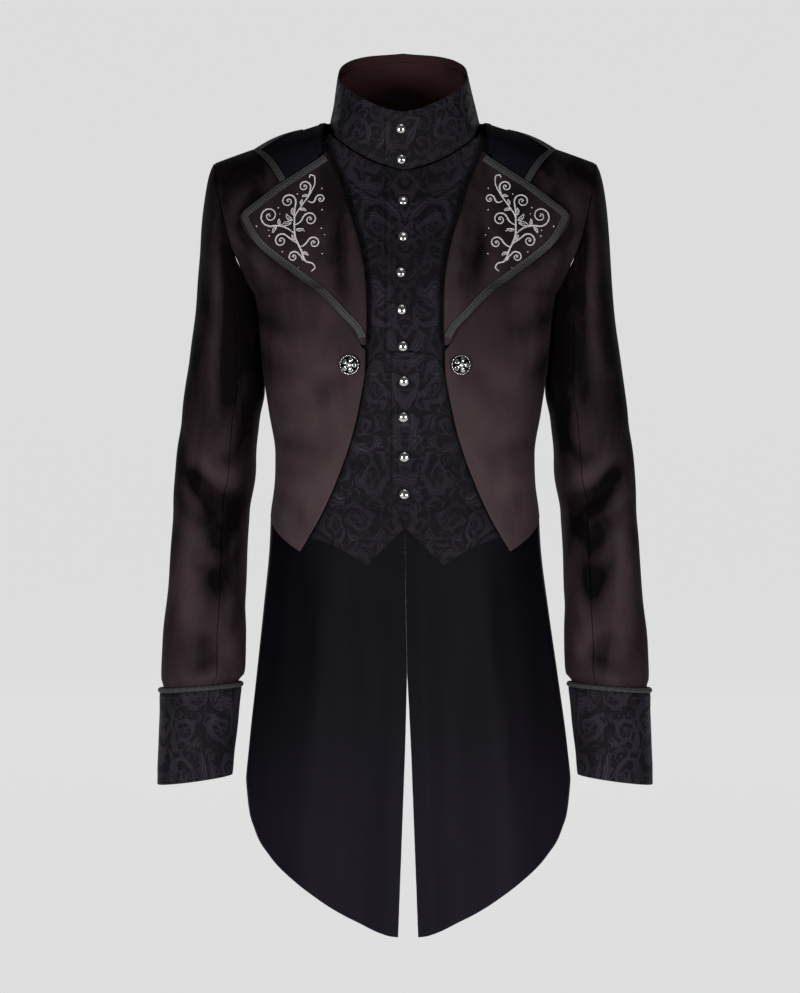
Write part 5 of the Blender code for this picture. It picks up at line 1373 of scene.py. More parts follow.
def collar_piece(name, angles, heights, inset, wall, finish, slot):
    """A strip of the stand collar, moved in by an inset."""
    out = np.where(angles < 90, overlap_rise(NECK_X * np.sin(np.radians(angles))), 0.0) - inset
    soft = 0.5 * soft_noise(angles[None] * 1.3, heights[:, None] * 60.0, 60.0, 5)
    if slot == "wine_facing":
        soft = soft + 0.9 * soft_noise(angles[None] * 1.3, heights[:, None] * 60.0, 24.0, 11)
    soft = soft * ease(heights[:, None], 0.1, 0.4)
    points, away = collar_points(angles, heights, np.broadcast_to(out, (len(heights), len(angles))) + soft)
    chart = (np.radians(angles)[None] * 78.0, points[..., 2])
    piece = panel(name + "_cloth", points, away, wall, finish, chart, lining=WINE_BAND)
    return stands_for(piece, slot, name)

collar_angles = -15.5 + 369.5 * spread(170, 520.0)
stand = collar_piece(
    "stand_collar", collar_angles, 0.02 + 0.98 * spread(24, 70.0), 0.0, COLLAR_WALL, DARK_BROCADE, "brocade"
)
cut(stand)
facing = collar_piece(
    "stand_collar_facing",
    14.0 + 310.0 * spread(110, 430.0),
    0.06 + 0.81 * spread(20, 60.0),
    COLLAR_WALL + 2 * GAP,
    LINING_WALL,
    WINE_VELVET,
    "wine_facing",
)
cut(facing)
print("stand collar made")

# %% [markdown]
# ## Sleeves
# A tailored sleeve is cut in two pieces, a wide top sleeve and a narrow under sleeve. It hangs straight from
# the shoulder, breaks into diagonal creases at the elbow and has soft drags above the cuff. Angle 0 is
# the outside of the arm and 90 its front; the creases are given on the sleeve rolled out flat.

# %% Sleeves
def armhole_down(angle):
    """The row of the form at each angle round the armhole: 0 is the shoulder point and 90 the front."""
    turn = np.asarray(angle, float) % 360
    front = turn <= 180
    return np.where(front, turn, turn - 360) / 180 * ARMHOLE_END

def armhole(angle):
    down = armhole_down(angle)
    return form_point(np.ones(np.shape(down)), down) + np.array([SLEEVE_CLEARANCE, 0.0, 0.0])

def fold_depth(angle, z):
    depth = np.zeros(np.broadcast(angle, z).shape)
    for row in FOLD_ROWS:
        fold = dict(zip(FOLD_COLUMNS, row))
        turn = (angle - fold["angle"] + 180) % 360 - 180
        level = z - fold["z"] + fold["fall"] * turn * 0.6
        depth = depth + fold["depth"] * np.exp(
            -((level / fold["spread"]) ** 2) - (turn / fold["reach"]) ** 2
        )
    return depth

def sleeve_section(angle, z):
    turn = np.radians(angle)
    outer, inner = SLEEVE["outer_x"](z), SLEEVE["inner_x"](z)
    pressed = fold_depth(angle, z)
    half = (outer - inner) / 2
    near_body = 0.5 * (1 - np.cos(turn)) * ease(z, -420, -330)
    half_x = half - pressed * (1 - near_body)
    x = (outer + inner) / 2 + half_x * np.cos(turn)
    y = SLEEVE["mid_y"](z) - (SLEEVE["half_depth"](z) - pressed) * np.sin(turn)
    level = z - SLEEVE["tilt"](z) * np.cos(turn) / 2
    return np.stack([x, y, level], axis=-1)

def sleeve_head(angle, part):
    """The sleeve between the armhole's seam and its first full section."""
    turn = np.radians(angle)
    start = armhole(angle)
    end = sleeve_section(angle, np.full(np.shape(angle), SLEEVE_TOP_Z))
    ahead = (end - sleeve_section(angle, np.full(np.shape(angle), SLEEVE_TOP_Z - 6.0))) / -6.0
    span = np.linalg.norm(end - start, axis=-1, keepdims=True)
    side = np.cos(turn)[..., None]
    out = np.concatenate([
        0.13 + 0.14 * side,
        -0.22 * np.sin(turn)[..., None],
        -0.62 + 0.25 * side,
    ], axis=-1)
    leave = out * span
    arrive = ahead * span * np.where(ahead[..., 2:] > 0, -0.93, 0.93)
    u = part
    return (
        (2 * u**3 - 3 * u**2 + 1) * start
        + (u**3 - 2 * u**2 + u) * leave
        + (3 * u**2 - 2 * u**3) * end
        + (u**3 - u**2) * arrive
    )

MM_PER_DEGREE = 0.9
SLEEVE_CREASES = (
    (34, -392, 122, -452, -8, 4.6, 13),
    (126, -372, 74, -408, 8, 2.8, 11),
    (22, -440, 92, -478, -6, 3.0, 12),
    (130, -452, 70, -500, 9, 3.4, 13),
    (56, -500, 118, -560, -8, 2.8, 14),
    (40, -150, 46, -390, 6, 2.4, 18),
    (104, -170, 92, -360, -6, 3.0, 14),
    (126, -240, 116, -350, 6, 2.2, 12),
    (-40, -130, -44, -330, -6, 2.4, 18),
    (128, -560, 84, -628, 9, 3.2, 13),
    (30, -560, 46, -640, -5, 1.8, 14),
    (108, -622, 60, -646, 5, 2.2, 9),
    (-90, -400, -30, -440, 8, 2.4, 12),
    (-96, -470, -40, -450, -8, 2.4, 12),
    (-80, -600, -40, -640, 6, 1.8, 12),
    (206, -380, 150, -412, -8, 2.4, 11),
    (150, -560, 190, -620, 8, 2.0, 12),
)
# Painted shade and light on the sleeves, given as creases: a positive depth darkens, as on the inner side of the
# arm and in the elbow folds, and a negative one lightens the ridges.
SLEEVE_SHADES = (
    (128, -110, 112, -370, 6, 0.34, 26),
    (132, -340, 126, -610, -6, 0.30, 22),
    (22, -100, 16, -640, 0, 0.16, 18),
    (58, -90, 66, -400, 6, -0.22, 15),
    (98, -300, 104, -420, 0, -0.18, 16),
    (40, -400, 124, -462, -8, 0.34, 15),
    (46, -440, 60, -600, 6, -0.30, 18),
    (116, -540, 96, -640, 8, -0.26, 14),
    (72, -600, 100, -650, 4, 0.22, 14),
    (88, -470, 100, -560, 6, 0.18, 14),
)
SLEEVE_LEAN = 2.2
# Painted light on the sleeves: a share for each level, darker high up and lighter towards the cuff.
SLEEVE_PAINTED_LIGHT = (
    (-780, 0.42), (-660, 0.42), (-560, 0.40), (-440, 0.28), (-330, 0.17), (-200, 0.10), (-80, 0.07),
    (30, 0.05)
)
WHOLE_TURN = 360 * MM_PER_DEGREE

def sleeve_points(angles, head, levels):
    """The sleeve's face: head rows from the armhole, then level rows."""
    rows = [sleeve_head(angles, part) for part in head]
    rows += [sleeve_section(angles, np.full(len(angles), z)) for z in levels]
    return np.array(rows)

def sleeve_cloth(angles, seed):
    """The sleeve's face with its creases, its outward directions and its painted light and shade."""
    head = np.concatenate([np.array(EDGE_STEPS) / 190.0, np.linspace(0.03, 0.975, 30)])
    levels = np.concatenate([
        np.linspace(SLEEVE_TOP_Z, -664.0, 92),
        np.linspace(-672.0, SLEEVE_END_Z + 3.0, 8),
        SLEEVE_END_Z + np.array(EDGE_STEPS[::-1]),
    ])
    points = sleeve_points(angles, head, levels)
    around = sleeve_points(angles + 1.0, head, levels) - sleeve_points(angles - 1.0, head, levels)
    along = np.gradient(points, axis=0)
    normals = np.cross(around, along)
    normals /= np.linalg.norm(normals, axis=-1, keepdims=True)
    coat = form_normal(np.ones(len(angles)), armhole_down(angles))
    turn = np.abs((angles + 180) % 360 - 180)
    share = (1 - ease(turn, 85, 125))[None, :, None] * (
        1 - ease(np.arange(len(points)), 3, 7)
    )[:, None, None]
    normals = normals * (1 - share) + coat[None] * share
    normals /= np.linalg.norm(normals, axis=-1, keepdims=True)
    chart = angles[None] * MM_PER_DEGREE + 0 * points[..., 2]
    z = points[..., 2]
    pressed = creases(chart, z, SLEEVE_CREASES, seed) + creases(chart - WHOLE_TURN, z, SLEEVE_CREASES, seed)
    round_turn = np.radians(angles)[None]
    pressed = pressed * (0.25 + 0.75 * np.sin(round_turn) ** 2)
    pressed = pressed - 0.4 * soft_noise(
        60 * np.cos(round_turn) + 0 * z, z + 60 * np.sin(round_turn), 95.0, seed
    )
    # Painted light and shade: darker high up, darker in troughs and lighter on ridges, plus the painted bands of
    # SLEEVE_SHADES.
    level, light = np.array(SLEEVE_PAINTED_LIGHT).T
    painted_light_and_hollows = smooth(level, light)(np.clip(z, level[0], level[-1])) - 0.5 * CREASE_SHADE * pressed
    painted_light_and_hollows = painted_light_and_hollows - creases(chart, z, SLEEVE_SHADES, seed)
    near_body = 0.5 * (1 - np.cos(round_turn)) * ease(z, -420, -330)
    free = ease(run_along(points, 0), 6.0, 40.0) * ease(z, -668.0, -640.0) * (1 - near_body)
    head_gathers = 0.5 * np.sin(np.radians(angles) * 9.0)[None] * np.exp(-run_along(points, 0) / 26.0)
    head_gathers = head_gathers * ease(run_along(points, 0), 1.0, 9.0) * (turn < 110)[None]
    points = points - normals * (pressed * free - head_gathers)[..., None]
    leans_in = (0.5 * (1 - np.cos(round_turn))) ** 3 * ease(z, -262, -240) * (1 - ease(z, -170, -150))
    points[..., 0] -= SLEEVE_LEAN * leans_in
    return points, normals, painted_light_and_hollows

SEAM_ANGLE = 112.5
SEAM_GAP = 0.35
for name, low, high, count in (
    ("sleeve_top", -SEAM_ANGLE, SEAM_ANGLE, 84),
    ("sleeve_under", SEAM_ANGLE, 360 - SEAM_ANGLE, 48),
):
    angles = low + SEAM_GAP + (high - low - 2 * SEAM_GAP) * spread(count, (high - low) * MM_PER_DEGREE)
    for seed, side, turn in ((3, "left", np.asarray), (8, "right", mirrored)):
        points, outward, painted_light_and_hollows = sleeve_cloth(angles, seed)
        chart = (angles[None] * MM_PER_DEGREE, points[..., 2])
        piece = panel(
            f"{name}_{side}_cloth", turn(points), turn(outward), VELVET_WALL, COAT_VELVET, chart, painted_light_and_hollows
        )
        cut(stands_for(piece, "velvet", f"{name}_{side}"))
print("sleeves made")

# %% [markdown]
# ## Cords, cuffs and braid
# The turned-back cuffs end in a fat twisted cord. A cord is a tube whose section has a few soft lobes that turn
# as it goes along, like plies of rope. The same tube makes the embroidery's raised lines. It could be a curve
# with a bevel, but a curve's round section shows no plies.

# %% Tubes and cuffs
def cuff_ring(part, angles, inset=0.0):
    turn = np.radians(angles)
    half = (CUFF["outer_x"](part) - CUFF["inner_x"](part)) / 2 - inset
    x = (CUFF["outer_x"](part) + CUFF["inner_x"](part)) / 2 + half * np.cos(turn)
    y = CUFF["mid_y"](part) - (CUFF["half_depth"](part) - inset) * np.sin(turn)
    z = CUFF["z"](part) - CUFF["tilt"](part) * np.cos(turn) / 2
    return np.stack([x, y, z], axis=-1)

def tube_outward(points, angles):
    turn = np.radians(np.asarray(angles, float))
    away = np.stack([np.cos(turn), -np.sin(turn), np.zeros(len(turn))], axis=-1)
    return np.broadcast_to(away[None], points.shape)

def tube(centres, normals, radii, sides=10, flat=1.0, plies=0, twist=0.0, closed=False, relief=0.16):
    """Points of a tube round a path; normals say which way is out, and plies turn along the path."""
    ahead = np.gradient(centres, axis=0)
    if closed:
        ahead = np.roll(centres, -1, axis=0) - np.roll(centres, 1, axis=0)
    ahead /= np.linalg.norm(ahead, axis=1, keepdims=True)
    side = np.cross(ahead, normals)
    side /= np.linalg.norm(side, axis=1, keepdims=True)
    up = np.cross(side, ahead)
    run = np.concatenate([[0], np.cumsum(np.linalg.norm(np.diff(centres, axis=0), axis=1))])
    turn = np.linspace(0, 2 * math.pi, sides, endpoint=False)[None]
    lobes = 1.0
    if plies:
        lobes = 1 - relief + relief * 2 * np.abs(np.cos((plies * turn + twist * run[:, None]) / 2))
    reach = np.broadcast_to(radii, (len(centres),))[:, None] * lobes
    out = (reach * np.cos(turn) * flat)[..., None] * up[:, None]
    return centres[:, None] + out + (reach * np.sin(turn))[..., None] * side[:, None]

def skins(name, tubes, finish, closed=False):
    """One mesh from many tubes, each closed at its ends or joined into a ring."""
    places, faces, uvs, base = [], [], [], 0
    for grid in tubes:
        rows, sides = grid.shape[:2]
        last = rows if closed else rows - 1
        i, j = (part.ravel() for part in np.meshgrid(range(last), range(sides), indexing="ij"))
        k, after = (j + 1) % sides, (i + 1) % rows
        quads = np.stack([i * sides + j, i * sides + k, after * sides + k, after * sides + j], axis=1) + base
        faces += quads.tolist()
        if not closed:
            faces.append([base + side for side in range(sides)][::-1])
            faces.append([base + (rows - 1) * sides + side for side in range(sides)])
        places.append(grid.reshape(-1, 3))
        along = run_along(grid, 0)
        uvs.append(np.stack([np.broadcast_to(np.arange(sides), along.shape), along], axis=-1).reshape(-1, 2))
        base += rows * sides
    mesh = bpy.data.meshes.new(name)
    places = np.concatenate(places)
    mesh.from_pydata((places * TO_METRES).tolist(), [], faces)
    corner = np.empty(len(mesh.loops), np.int32)
    mesh.loops.foreach_get("vertex_index", corner)
    layer = mesh.uv_layers.new(name="cloth")
    layer.data.foreach_set("uv", (np.concatenate(uvs)[corner] * TO_METRES).astype(np.float32).ravel())
    piece = finished(name, mesh, finish)
    if signed_volume(piece) < 0:
        piece.data.flip_normals()
    return piece

def signed_volume(piece):
    mesh = piece.data
    mesh.calc_loop_triangles()
    corners = np.array([vertex.co[:] for vertex in mesh.vertices])
    a, b, c = (corners[[triangle.vertices[i] for triangle in mesh.loop_triangles]] for i in range(3))
    return float(np.einsum("ij,ij->i", a, np.cross(b, c)).sum() / 6)

for side, turn in (("left", np.asarray), ("right", mirrored)):
    angles = np.linspace(0, 360, 132, endpoint=False)
    parts = spread(26, 106.0)
    points = np.array([cuff_ring(part, angles) for part in parts])
    wavy = 0.45 * soft_noise(
        60 * np.cos(np.radians(angles))[None], points[..., 2] + 60 * np.sin(np.radians(angles)), 60.0, 4
    )
    outward = tube_outward(points, angles)
    points = points + outward * (wavy * ease(edge_distance(points, True), 4, 20))[..., None]
    arm = (np.abs(angles - 180) * 0.92)[None]
    piece = panel(
        f"cuff_{side}_cloth", turn(points), turn(outward), CUFF_WALL, DARK_BROCADE, (
            arm, points[..., 2]
        ), closed=True
    )
    cut(stands_for(piece, "brocade", "cuff_" + side))
    angles = np.linspace(0, 360, 300, endpoint=False)
    middle = cuff_ring(0.0, angles, CUFF_WALL / 2)
    middle[:, 2] += CUFF_ROLL_RADIUS + GAP
    away = tube_outward(middle[None], angles)[0]
    rope = tube(turn(middle), turn(away), 2.9, 12, plies=3, twist=2 * math.pi / 9.0, closed=True)
    cord = skins(f"cuff_roll_{side}_cord", [rope], GREY_CORD, closed=True)
    stands_for(cord, "brocade", "cuff_roll_" + side)
    cut(cord)
print("cuffs made")

# %% [markdown]
# ## Braid
# A flat braid edges the lapels and the upper collar. It is plaited, so its face is a row of chevrons with a
# firm selvedge. Each braid follows the same path as its solid, and its face rises and falls by the weave.

# %% Braid
def strip_between(path, width):
    """Front-view points along an open path and along the same path moved inwards by a width."""
    path = np.asarray(path, float)
    ahead = np.gradient(path, axis=0)
    ahead /= np.linalg.norm(ahead, axis=1, keepdims=True)
    inward = np.stack([ahead[:, 1], -ahead[:, 0]], axis=1)
    return path, path + inward * width

def rounded(corners, radius, steps):
    """A path through corners, each inner corner turned on a short curve."""
    corners = [np.asarray(c, float) for c in corners]
    path = [corners[0]]
    for before, corner, after in zip(corners, corners[1:], corners[2:]):
        back = (before - corner) / np.linalg.norm(before - corner)
        ahead = (after - corner) / np.linalg.norm(after - corner)
        start, end = corner + back * radius, corner + ahead * radius
        for u in np.linspace(0, 1, steps):
            path.append((1 - u) ** 2 * start + 2 * u * (1 - u) * corner + u * u * end)
    path.append(corners[-1])
    return np.array(path)

WEAVE_RELIEF = 0.6
BRAID_END = (53.6, -257.0)
BRAID_SEAT = 0.8

def resampled(path, step):
    """A path through the same points with even, short steps."""
    path = np.asarray(path, float)
    run = np.concatenate([[0], np.cumsum(np.linalg.norm(np.diff(path, axis=0), axis=1))])
    fine = np.linspace(0, run[-1], max(int(run[-1] / step), 2))
    return np.stack([smooth(run, path[:, i])(fine) for i in range(path.shape[1])], axis=-1)

def weave(run, share):
    """The rise of a plaited face: chevrons that meet in the middle, and two firm edges."""
    side = np.abs(share - 0.5) * 2
    plies = np.abs(np.sin(math.pi * (run / WEAVE_PITCH + WEAVE_LEAN * side))) ** 0.7
    edge = ease(side, 0.80, 0.9)
    return WEAVE_RELIEF * (plies * (1 - edge) + edge * (0.55 + 0.45 * np.abs(np.sin(math.pi * run / 1.3))))

def braid_piece(far, near, height):
    """A braid between two lines of front-view or form places, lying at a height."""
    shares = np.concatenate([[0.0, 0.03, 0.08], np.linspace(0.14, 0.86, 12), [0.92, 0.97, 1.0]])
    across = far[:, None, 0] + (near - far)[:, None, 0] * shares
    down = far[:, None, 1] + (near - far)[:, None, 1] * shares
    normals = form_normal(across, down)
    points = on_form(across, down, height)
    run = run_along(points, 0)
    inner = points - normals * (BRAID_WALL + BRAID_SEAT)
    points = points + normals * (weave(run, shares[None]) - 0.3)[..., None]
    return points, normals, inner, (run, run_along(points, 1))

gorge = table(GORGE_COLUMNS, GORGE_ROWS)
xs = np.concatenate([np.linspace(gorge["x"][0] + 4.0, NOTCH_X, 4), [164.0, 178.0]])
upper = [np.array([x, z - BRAID_INSET]) for x, z in zip(xs, np.interp(xs, gorge["x"], gorge["z"]))]
tip = np.array([gorge["x"][-1] - BRAID_INSET, gorge["z"][-1]])
lower = [
    np.array([x - BRAID_INSET, z + BRAID_INSET]) for x, z in np.array([*LAPEL_EDGE_ROWS[2:-1], BRAID_END])
]
bend = rounded([upper[-1], tip, lower[0]], TIP_RADIUS, 5)[1:-1]
path = resampled(upper + list(bend) + lower, 0.62)
outer_line, inner_line = strip_between(path, BRAID_WIDTH)
outer_line, inner_line = np.stack(
    form_place(*outer_line.T), axis=-1
), np.stack(form_place(*inner_line.T), axis=-1)
face = form_point(outer_line[:, 0], outer_line[:, 1])
height = (lapel_height(np.abs(face[:, 0]), face[:, 2]) + BRAID_WALL + 0.7 * LAYER_GAP)[:, None]
for side, turn in (("left", np.asarray), ("right", mirrored)):
    points, outward, inner, chart = braid_piece(
        outer_line, inner_line, np.broadcast_to(height, (len(path), 18))
    )
    piece = panel(
        f"lapel_braid_{side}_weave", turn(points), turn(outward), BRAID_WALL, GREY_BRAID, chart,
        inner=turn(inner), rounding=0.3,
    )
    cut(stands_for(piece, "braid", "lapel_braid_" + side))

inner_edge, outer_edge = fall_collar_rows(np.linspace(0, 1, 330))
span = np.linalg.norm(form_point(*outer_edge.T) - form_point(*inner_edge.T), axis=1)[:, None]
far = outer_edge + (inner_edge - outer_edge) * BRAID_INSET / span
near = far + (inner_edge - outer_edge) * BRAID_WIDTH / span
points, outward, inner, chart = braid_piece(
    far, near, np.full((len(far), 18), FALL_LIES + BRAID_WALL + 3 * GAP)
)
both = [np.concatenate([mirrored(half)[:0:-1], half]) for half in (points, outward, inner)]
chart = (run_along(both[0], 0), run_along(both[0], 1))
piece = panel(
    "collar_braid_weave", both[0], both[1], BRAID_WALL, GREY_BRAID, chart, inner=both[2], rounding=0.3
)
cut(stands_for(piece, "braid", "collar_braid"))
print("braid made")

# %% [markdown]
# ## Embroidery
# The lapels carry raised silver-grey scrolls. The design here is a plain one of its own: leafy coils that grow
# from a curved stem, with small knots between them. An embroiderer couches a cord and covers it with
# satin stitch, so each line is a flattened tube that thins to its end, and each knot is a small bead.

# %% Scrolls
SCROLL_COLUMNS = ("x", "z", "size", "start", "hand", "turns", "from_x", "from_z", "lead")
SCROLL_ROWS = (
    (159.0, -109.5, 12.5, -100, 1, 1.55, 129.0, -132.0, 16),
    (137.5, -92.5, 9.5, 190, -1, 1.5, 130.0, -114.0, 9),
    (118.5, -75.0, 7.5, 180, -1, 1.4, 115.5, -91.0, 7),
    (145.0, -139.0, 8.5, 130, -1, 1.5, 124.0, -144.0, 9),
    (130.0, -158.5, 6.8, 140, -1, 1.4, 117.5, -161.0, 6),
    (111.0, -115.0, 8.8, 20, 1, 1.5, 130.5, -121.0, 9),
    (106.0, -143.0, 7.6, 30, 1, 1.4, 123.0, -147.0, 9),
    (99.0, -91.0, 6.0, 10, 1, 1.3, 114.0, -93.0, 8),
)
STEM_ROWS = (
    (108.5, -176.0), (104.5, -172.0), (107.5, -167.0), (114.0, -165.0), (121.0, -151.0), (129.0, -131.0),
    (129.5, -114.0), (121.0, -98.0), (111.0, -83.0),
    (106.0, -70.0), (107.0, -62.0), (111.5, -60.5), (113.0, -64.0),
)
LEAF_COLUMNS = ("x", "z", "angle", "length", "hand")
LEAF_ROWS = (
    (131.0, -116.0, 25, 11.0, 1), (132.0, -119.0, 5, 13.0, -1), (130.0, -110.0, 60, 9.0, 1),
    (121.0, -99.0, 75, 8.0, 1), (113.0, -87.0, 20, 7.5, -1), (126.0, -138.0, 20, 8.0, 1),
    (120.0, -154.0, 185, 8.0, 1), (128.0, -126.0, 200, 9.0, -1), (124.0, -103.0, 170, 8.0, 1),
    (146.0, -121.5, 60, 8.0, 1), (150.0, -122.5, -35, 8.5, -1), (115.0, -163.0, 20, 7.0, 1),
)
KNOT_ROWS = (
    (
        174.5, -121.5, 1.0
    ), (160.0, -126.5, 0.8), (159.0, -133.0, 1.0), (143.0, -152.0, 0.9), (133.0, -169.0, 0.9),
    (124.0, -171.5, 0.7), (97.0, -104.0, 0.9), (97.5, -126.0, 0.9), (93.5, -134.0, 0.7), (96.0, -156.0, 0.9),
    (97.5, -78.0, 0.8), (126.5, -84.0, 0.9), (
        149.0, -100.0, 0.9
    ), (147.0, -107.5, 0.7), (118.0, -128.5, 0.8),
)
STROKE_WIDTH = 1.1
EMBROIDERY_LIFT = 0.3

def on_lapel(x, z, lift):
    across, down = form_place(x, z)
    height = lapel_height(np.abs(x), z) + lift
    return on_form(across, down, height), form_normal(across, down)

def stroke(path, width):
    """A raised line on the lapel that swells a little and thins towards its end."""
    path = resampled(path, 0.75)
    centres, normals = on_lapel(path[:, 0], path[:, 1], EMBROIDERY_LIFT)
    share = np.linspace(0, 1, len(path))
    radii = width * (0.5 + 0.5 * np.sin(math.pi * np.clip(share * 1.6, 0, 0.5 + 0.3 * share)) ** 0.8)
    return tube(centres, normals, radii * (1 - 0.35 * share), 8, flat=0.6, plies=5, twist=2.6, relief=0.1)

def coil(scroll):
    """A line that leaves the stem, sweeps round and winds up into its own middle."""
    wind = np.linspace(0, 1, 60)
    angle = math.radians(scroll["start"]) + scroll["hand"] * scroll["turns"] * 2 * math.pi * wind
    reach = scroll["size"] * (1 - 0.84 * wind**0.85)
    wound = np.stack([scroll["x"] + reach * np.cos(angle), scroll["z"] + reach * np.sin(angle)], axis=-1)
    ahead = scroll["hand"] * np.array([-math.sin(angle[0]), math.cos(angle[0])])
    leave, bend = np.array([scroll["from_x"], scroll["from_z"]]), wound[0] - ahead * scroll["lead"]
    u = np.linspace(0, 1, 12)[:-1, None]
    return np.concatenate([(1 - u) ** 2 * leave + 2 * u * (1 - u) * bend + u * u * wound[0], wound])

def leaf(row):
    """The outline of a pointed leaf with a bent tip, and its vein."""
    one = dict(zip(LEAF_COLUMNS, row))
    share = np.linspace(0, 1, 14)
    bend = math.radians(one["angle"]) + one["hand"] * 0.9 * share**1.5
    ahead = np.stack([np.cos(bend), np.sin(bend)], axis=-1) * one["length"] / 13
    spine = np.array([one["x"], one["z"]]) + np.cumsum(ahead, axis=0)
    out = np.stack([-np.sin(bend), np.cos(bend)], axis=-1) * (
        0.17 * one["length"] * np.sin(math.pi * share**0.8)
    )[:, None]
    round_it = np.concatenate([spine - out, (spine + out)[::-1][1:]])
    return [stroke(round_it, 0.62 * STROKE_WIDTH), stroke(spine[:9], 0.5 * STROKE_WIDTH)]

strokes = [stroke(STEM_ROWS, 1.1 * STROKE_WIDTH)]
knots = list(KNOT_ROWS)
for row in SCROLL_ROWS:
    scroll = dict(zip(SCROLL_COLUMNS, row))
    strokes.append(stroke(coil(scroll), STROKE_WIDTH))
    knots.append((scroll["x"], scroll["z"], 1.1))
for row in LEAF_ROWS:
    strokes += leaf(row)
thread = np.concatenate([grid.reshape(-1, 3) for grid in strokes])
print("strokes:", len(strokes), "knots:", len(knots), "embroidery spans", np.ptp(thread, axis=0).round(0))

for side, turn in (("left", np.asarray), ("right", mirrored)):
    piece = skins("embroidery_" + side, [turn(grid) for grid in strokes], SILVER_THREAD)
    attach(piece, "root")

# %% [markdown]
# ## Stitches and knots by Geometry Nodes
# Sewing repeats one small thing along a line, which is just what Geometry Nodes are for. The first tree
# takes a line, walks along it in even steps and sets a stitch at each, turned the way the line runs. The
# second sets a knot at every point. Both end as plain meshes.

# %% Node trees
def start_tree(name, inputs):
    """A Geometry Nodes tree with a geometry input and output and the named inputs."""
    tree = bpy.data.node_groups.new(name, "GeometryNodeTree")
    tree.interface.new_socket("Geometry", in_out="INPUT", socket_type="NodeSocketGeometry")
    for label, kind in inputs:
        tree.interface.new_socket(label, in_out="INPUT", socket_type=kind)
    tree.interface.new_socket("Geometry", in_out="OUTPUT", socket_type="NodeSocketGeometry")
    return tree, tree.nodes.new("NodeGroupInput"), tree.nodes.new("NodeGroupOutput")

def finish_tree(tree, geometry, given, output):
    """Makes the copies real, smooth and of one finish."""
    real = tree.nodes.new("GeometryNodeRealizeInstances")
    smooth_faces = tree.nodes.new("GeometryNodeSetShadeSmooth")
    set_finish = tree.nodes.new("GeometryNodeSetMaterial")
    tree.links.new(geometry, real.inputs[0])
    tree.links.new(real.outputs[0], smooth_faces.inputs[0])
    tree.links.new(smooth_faces.outputs[0], set_finish.inputs[0])
    tree.links.new(given.outputs["Finish"], set_finish.inputs["Material"])
    tree.links.new(set_finish.outputs[0], output.inputs[0])

def stitch_tree():
    kinds = (
        ("Spacing", "NodeSocketFloat"), ("Length", "NodeSocketFloat"), ("Thickness", "NodeSocketFloat"),
        ("Finish", "NodeSocketMaterial")
    )
    tree, given, output = start_tree("stitches", kinds)
    line = tree.nodes.new("GeometryNodeMeshToCurve")
    steps = tree.nodes.new("GeometryNodeResampleCurve")
    steps.mode = "LENGTH"
    bead = tree.nodes.new("GeometryNodeMeshUVSphere")
    bead.inputs["Segments"].default_value = 6
    bead.inputs["Rings"].default_value = 4
    bead.inputs["Radius"].default_value = 1.0
    ahead = tree.nodes.new("GeometryNodeInputTangent")
    turn = tree.nodes.new("FunctionNodeAlignRotationToVector")
    turn.axis = "Z"
    size = tree.nodes.new("ShaderNodeCombineXYZ")
    copies = tree.nodes.new("GeometryNodeInstanceOnPoints")
    link = tree.links.new
    link(given.outputs["Geometry"], line.inputs[0])
    link(line.outputs[0], steps.inputs["Curve"])
    link(given.outputs["Spacing"], steps.inputs["Length"])
    link(steps.outputs[0], copies.inputs["Points"])
    link(bead.outputs["Mesh"], copies.inputs["Instance"])
    link(ahead.outputs[0], turn.inputs["Vector"])
    link(turn.outputs[0], copies.inputs["Rotation"])
    for axis, label in (("X", "Thickness"), ("Y", "Thickness"), ("Z", "Length")):
        link(given.outputs[label], size.inputs[axis])
    link(size.outputs[0], copies.inputs["Scale"])
    finish_tree(tree, copies.outputs[0], given, output)
    return tree

def knot_tree():
    """A knot at each point, of the size the point carries."""
    kinds = (("Size", "NodeSocketFloat"), ("Finish", "NodeSocketMaterial"))
    tree, given, output = start_tree("knots", kinds)
    bead = tree.nodes.new("GeometryNodeMeshUVSphere")
    bead.inputs["Segments"].default_value = 8
    bead.inputs["Rings"].default_value = 6
    bead.inputs["Radius"].default_value = 1.0
    own = tree.nodes.new("GeometryNodeInputNamedAttribute")
    own.data_type = "FLOAT"
    own.inputs["Name"].default_value = "knot_size"
    scaled = tree.nodes.new("ShaderNodeMath")
    scaled.operation = "MULTIPLY"
    copies = tree.nodes.new("GeometryNodeInstanceOnPoints")
    link = tree.links.new
    link(own.outputs["Attribute"], scaled.inputs[0])
    link(given.outputs["Size"], scaled.inputs[1])
    link(given.outputs["Geometry"], copies.inputs["Points"])
    link(bead.outputs["Mesh"], copies.inputs["Instance"])
    link(scaled.outputs[0], copies.inputs["Scale"])
    finish_tree(tree, copies.outputs[0], given, output)
    return tree

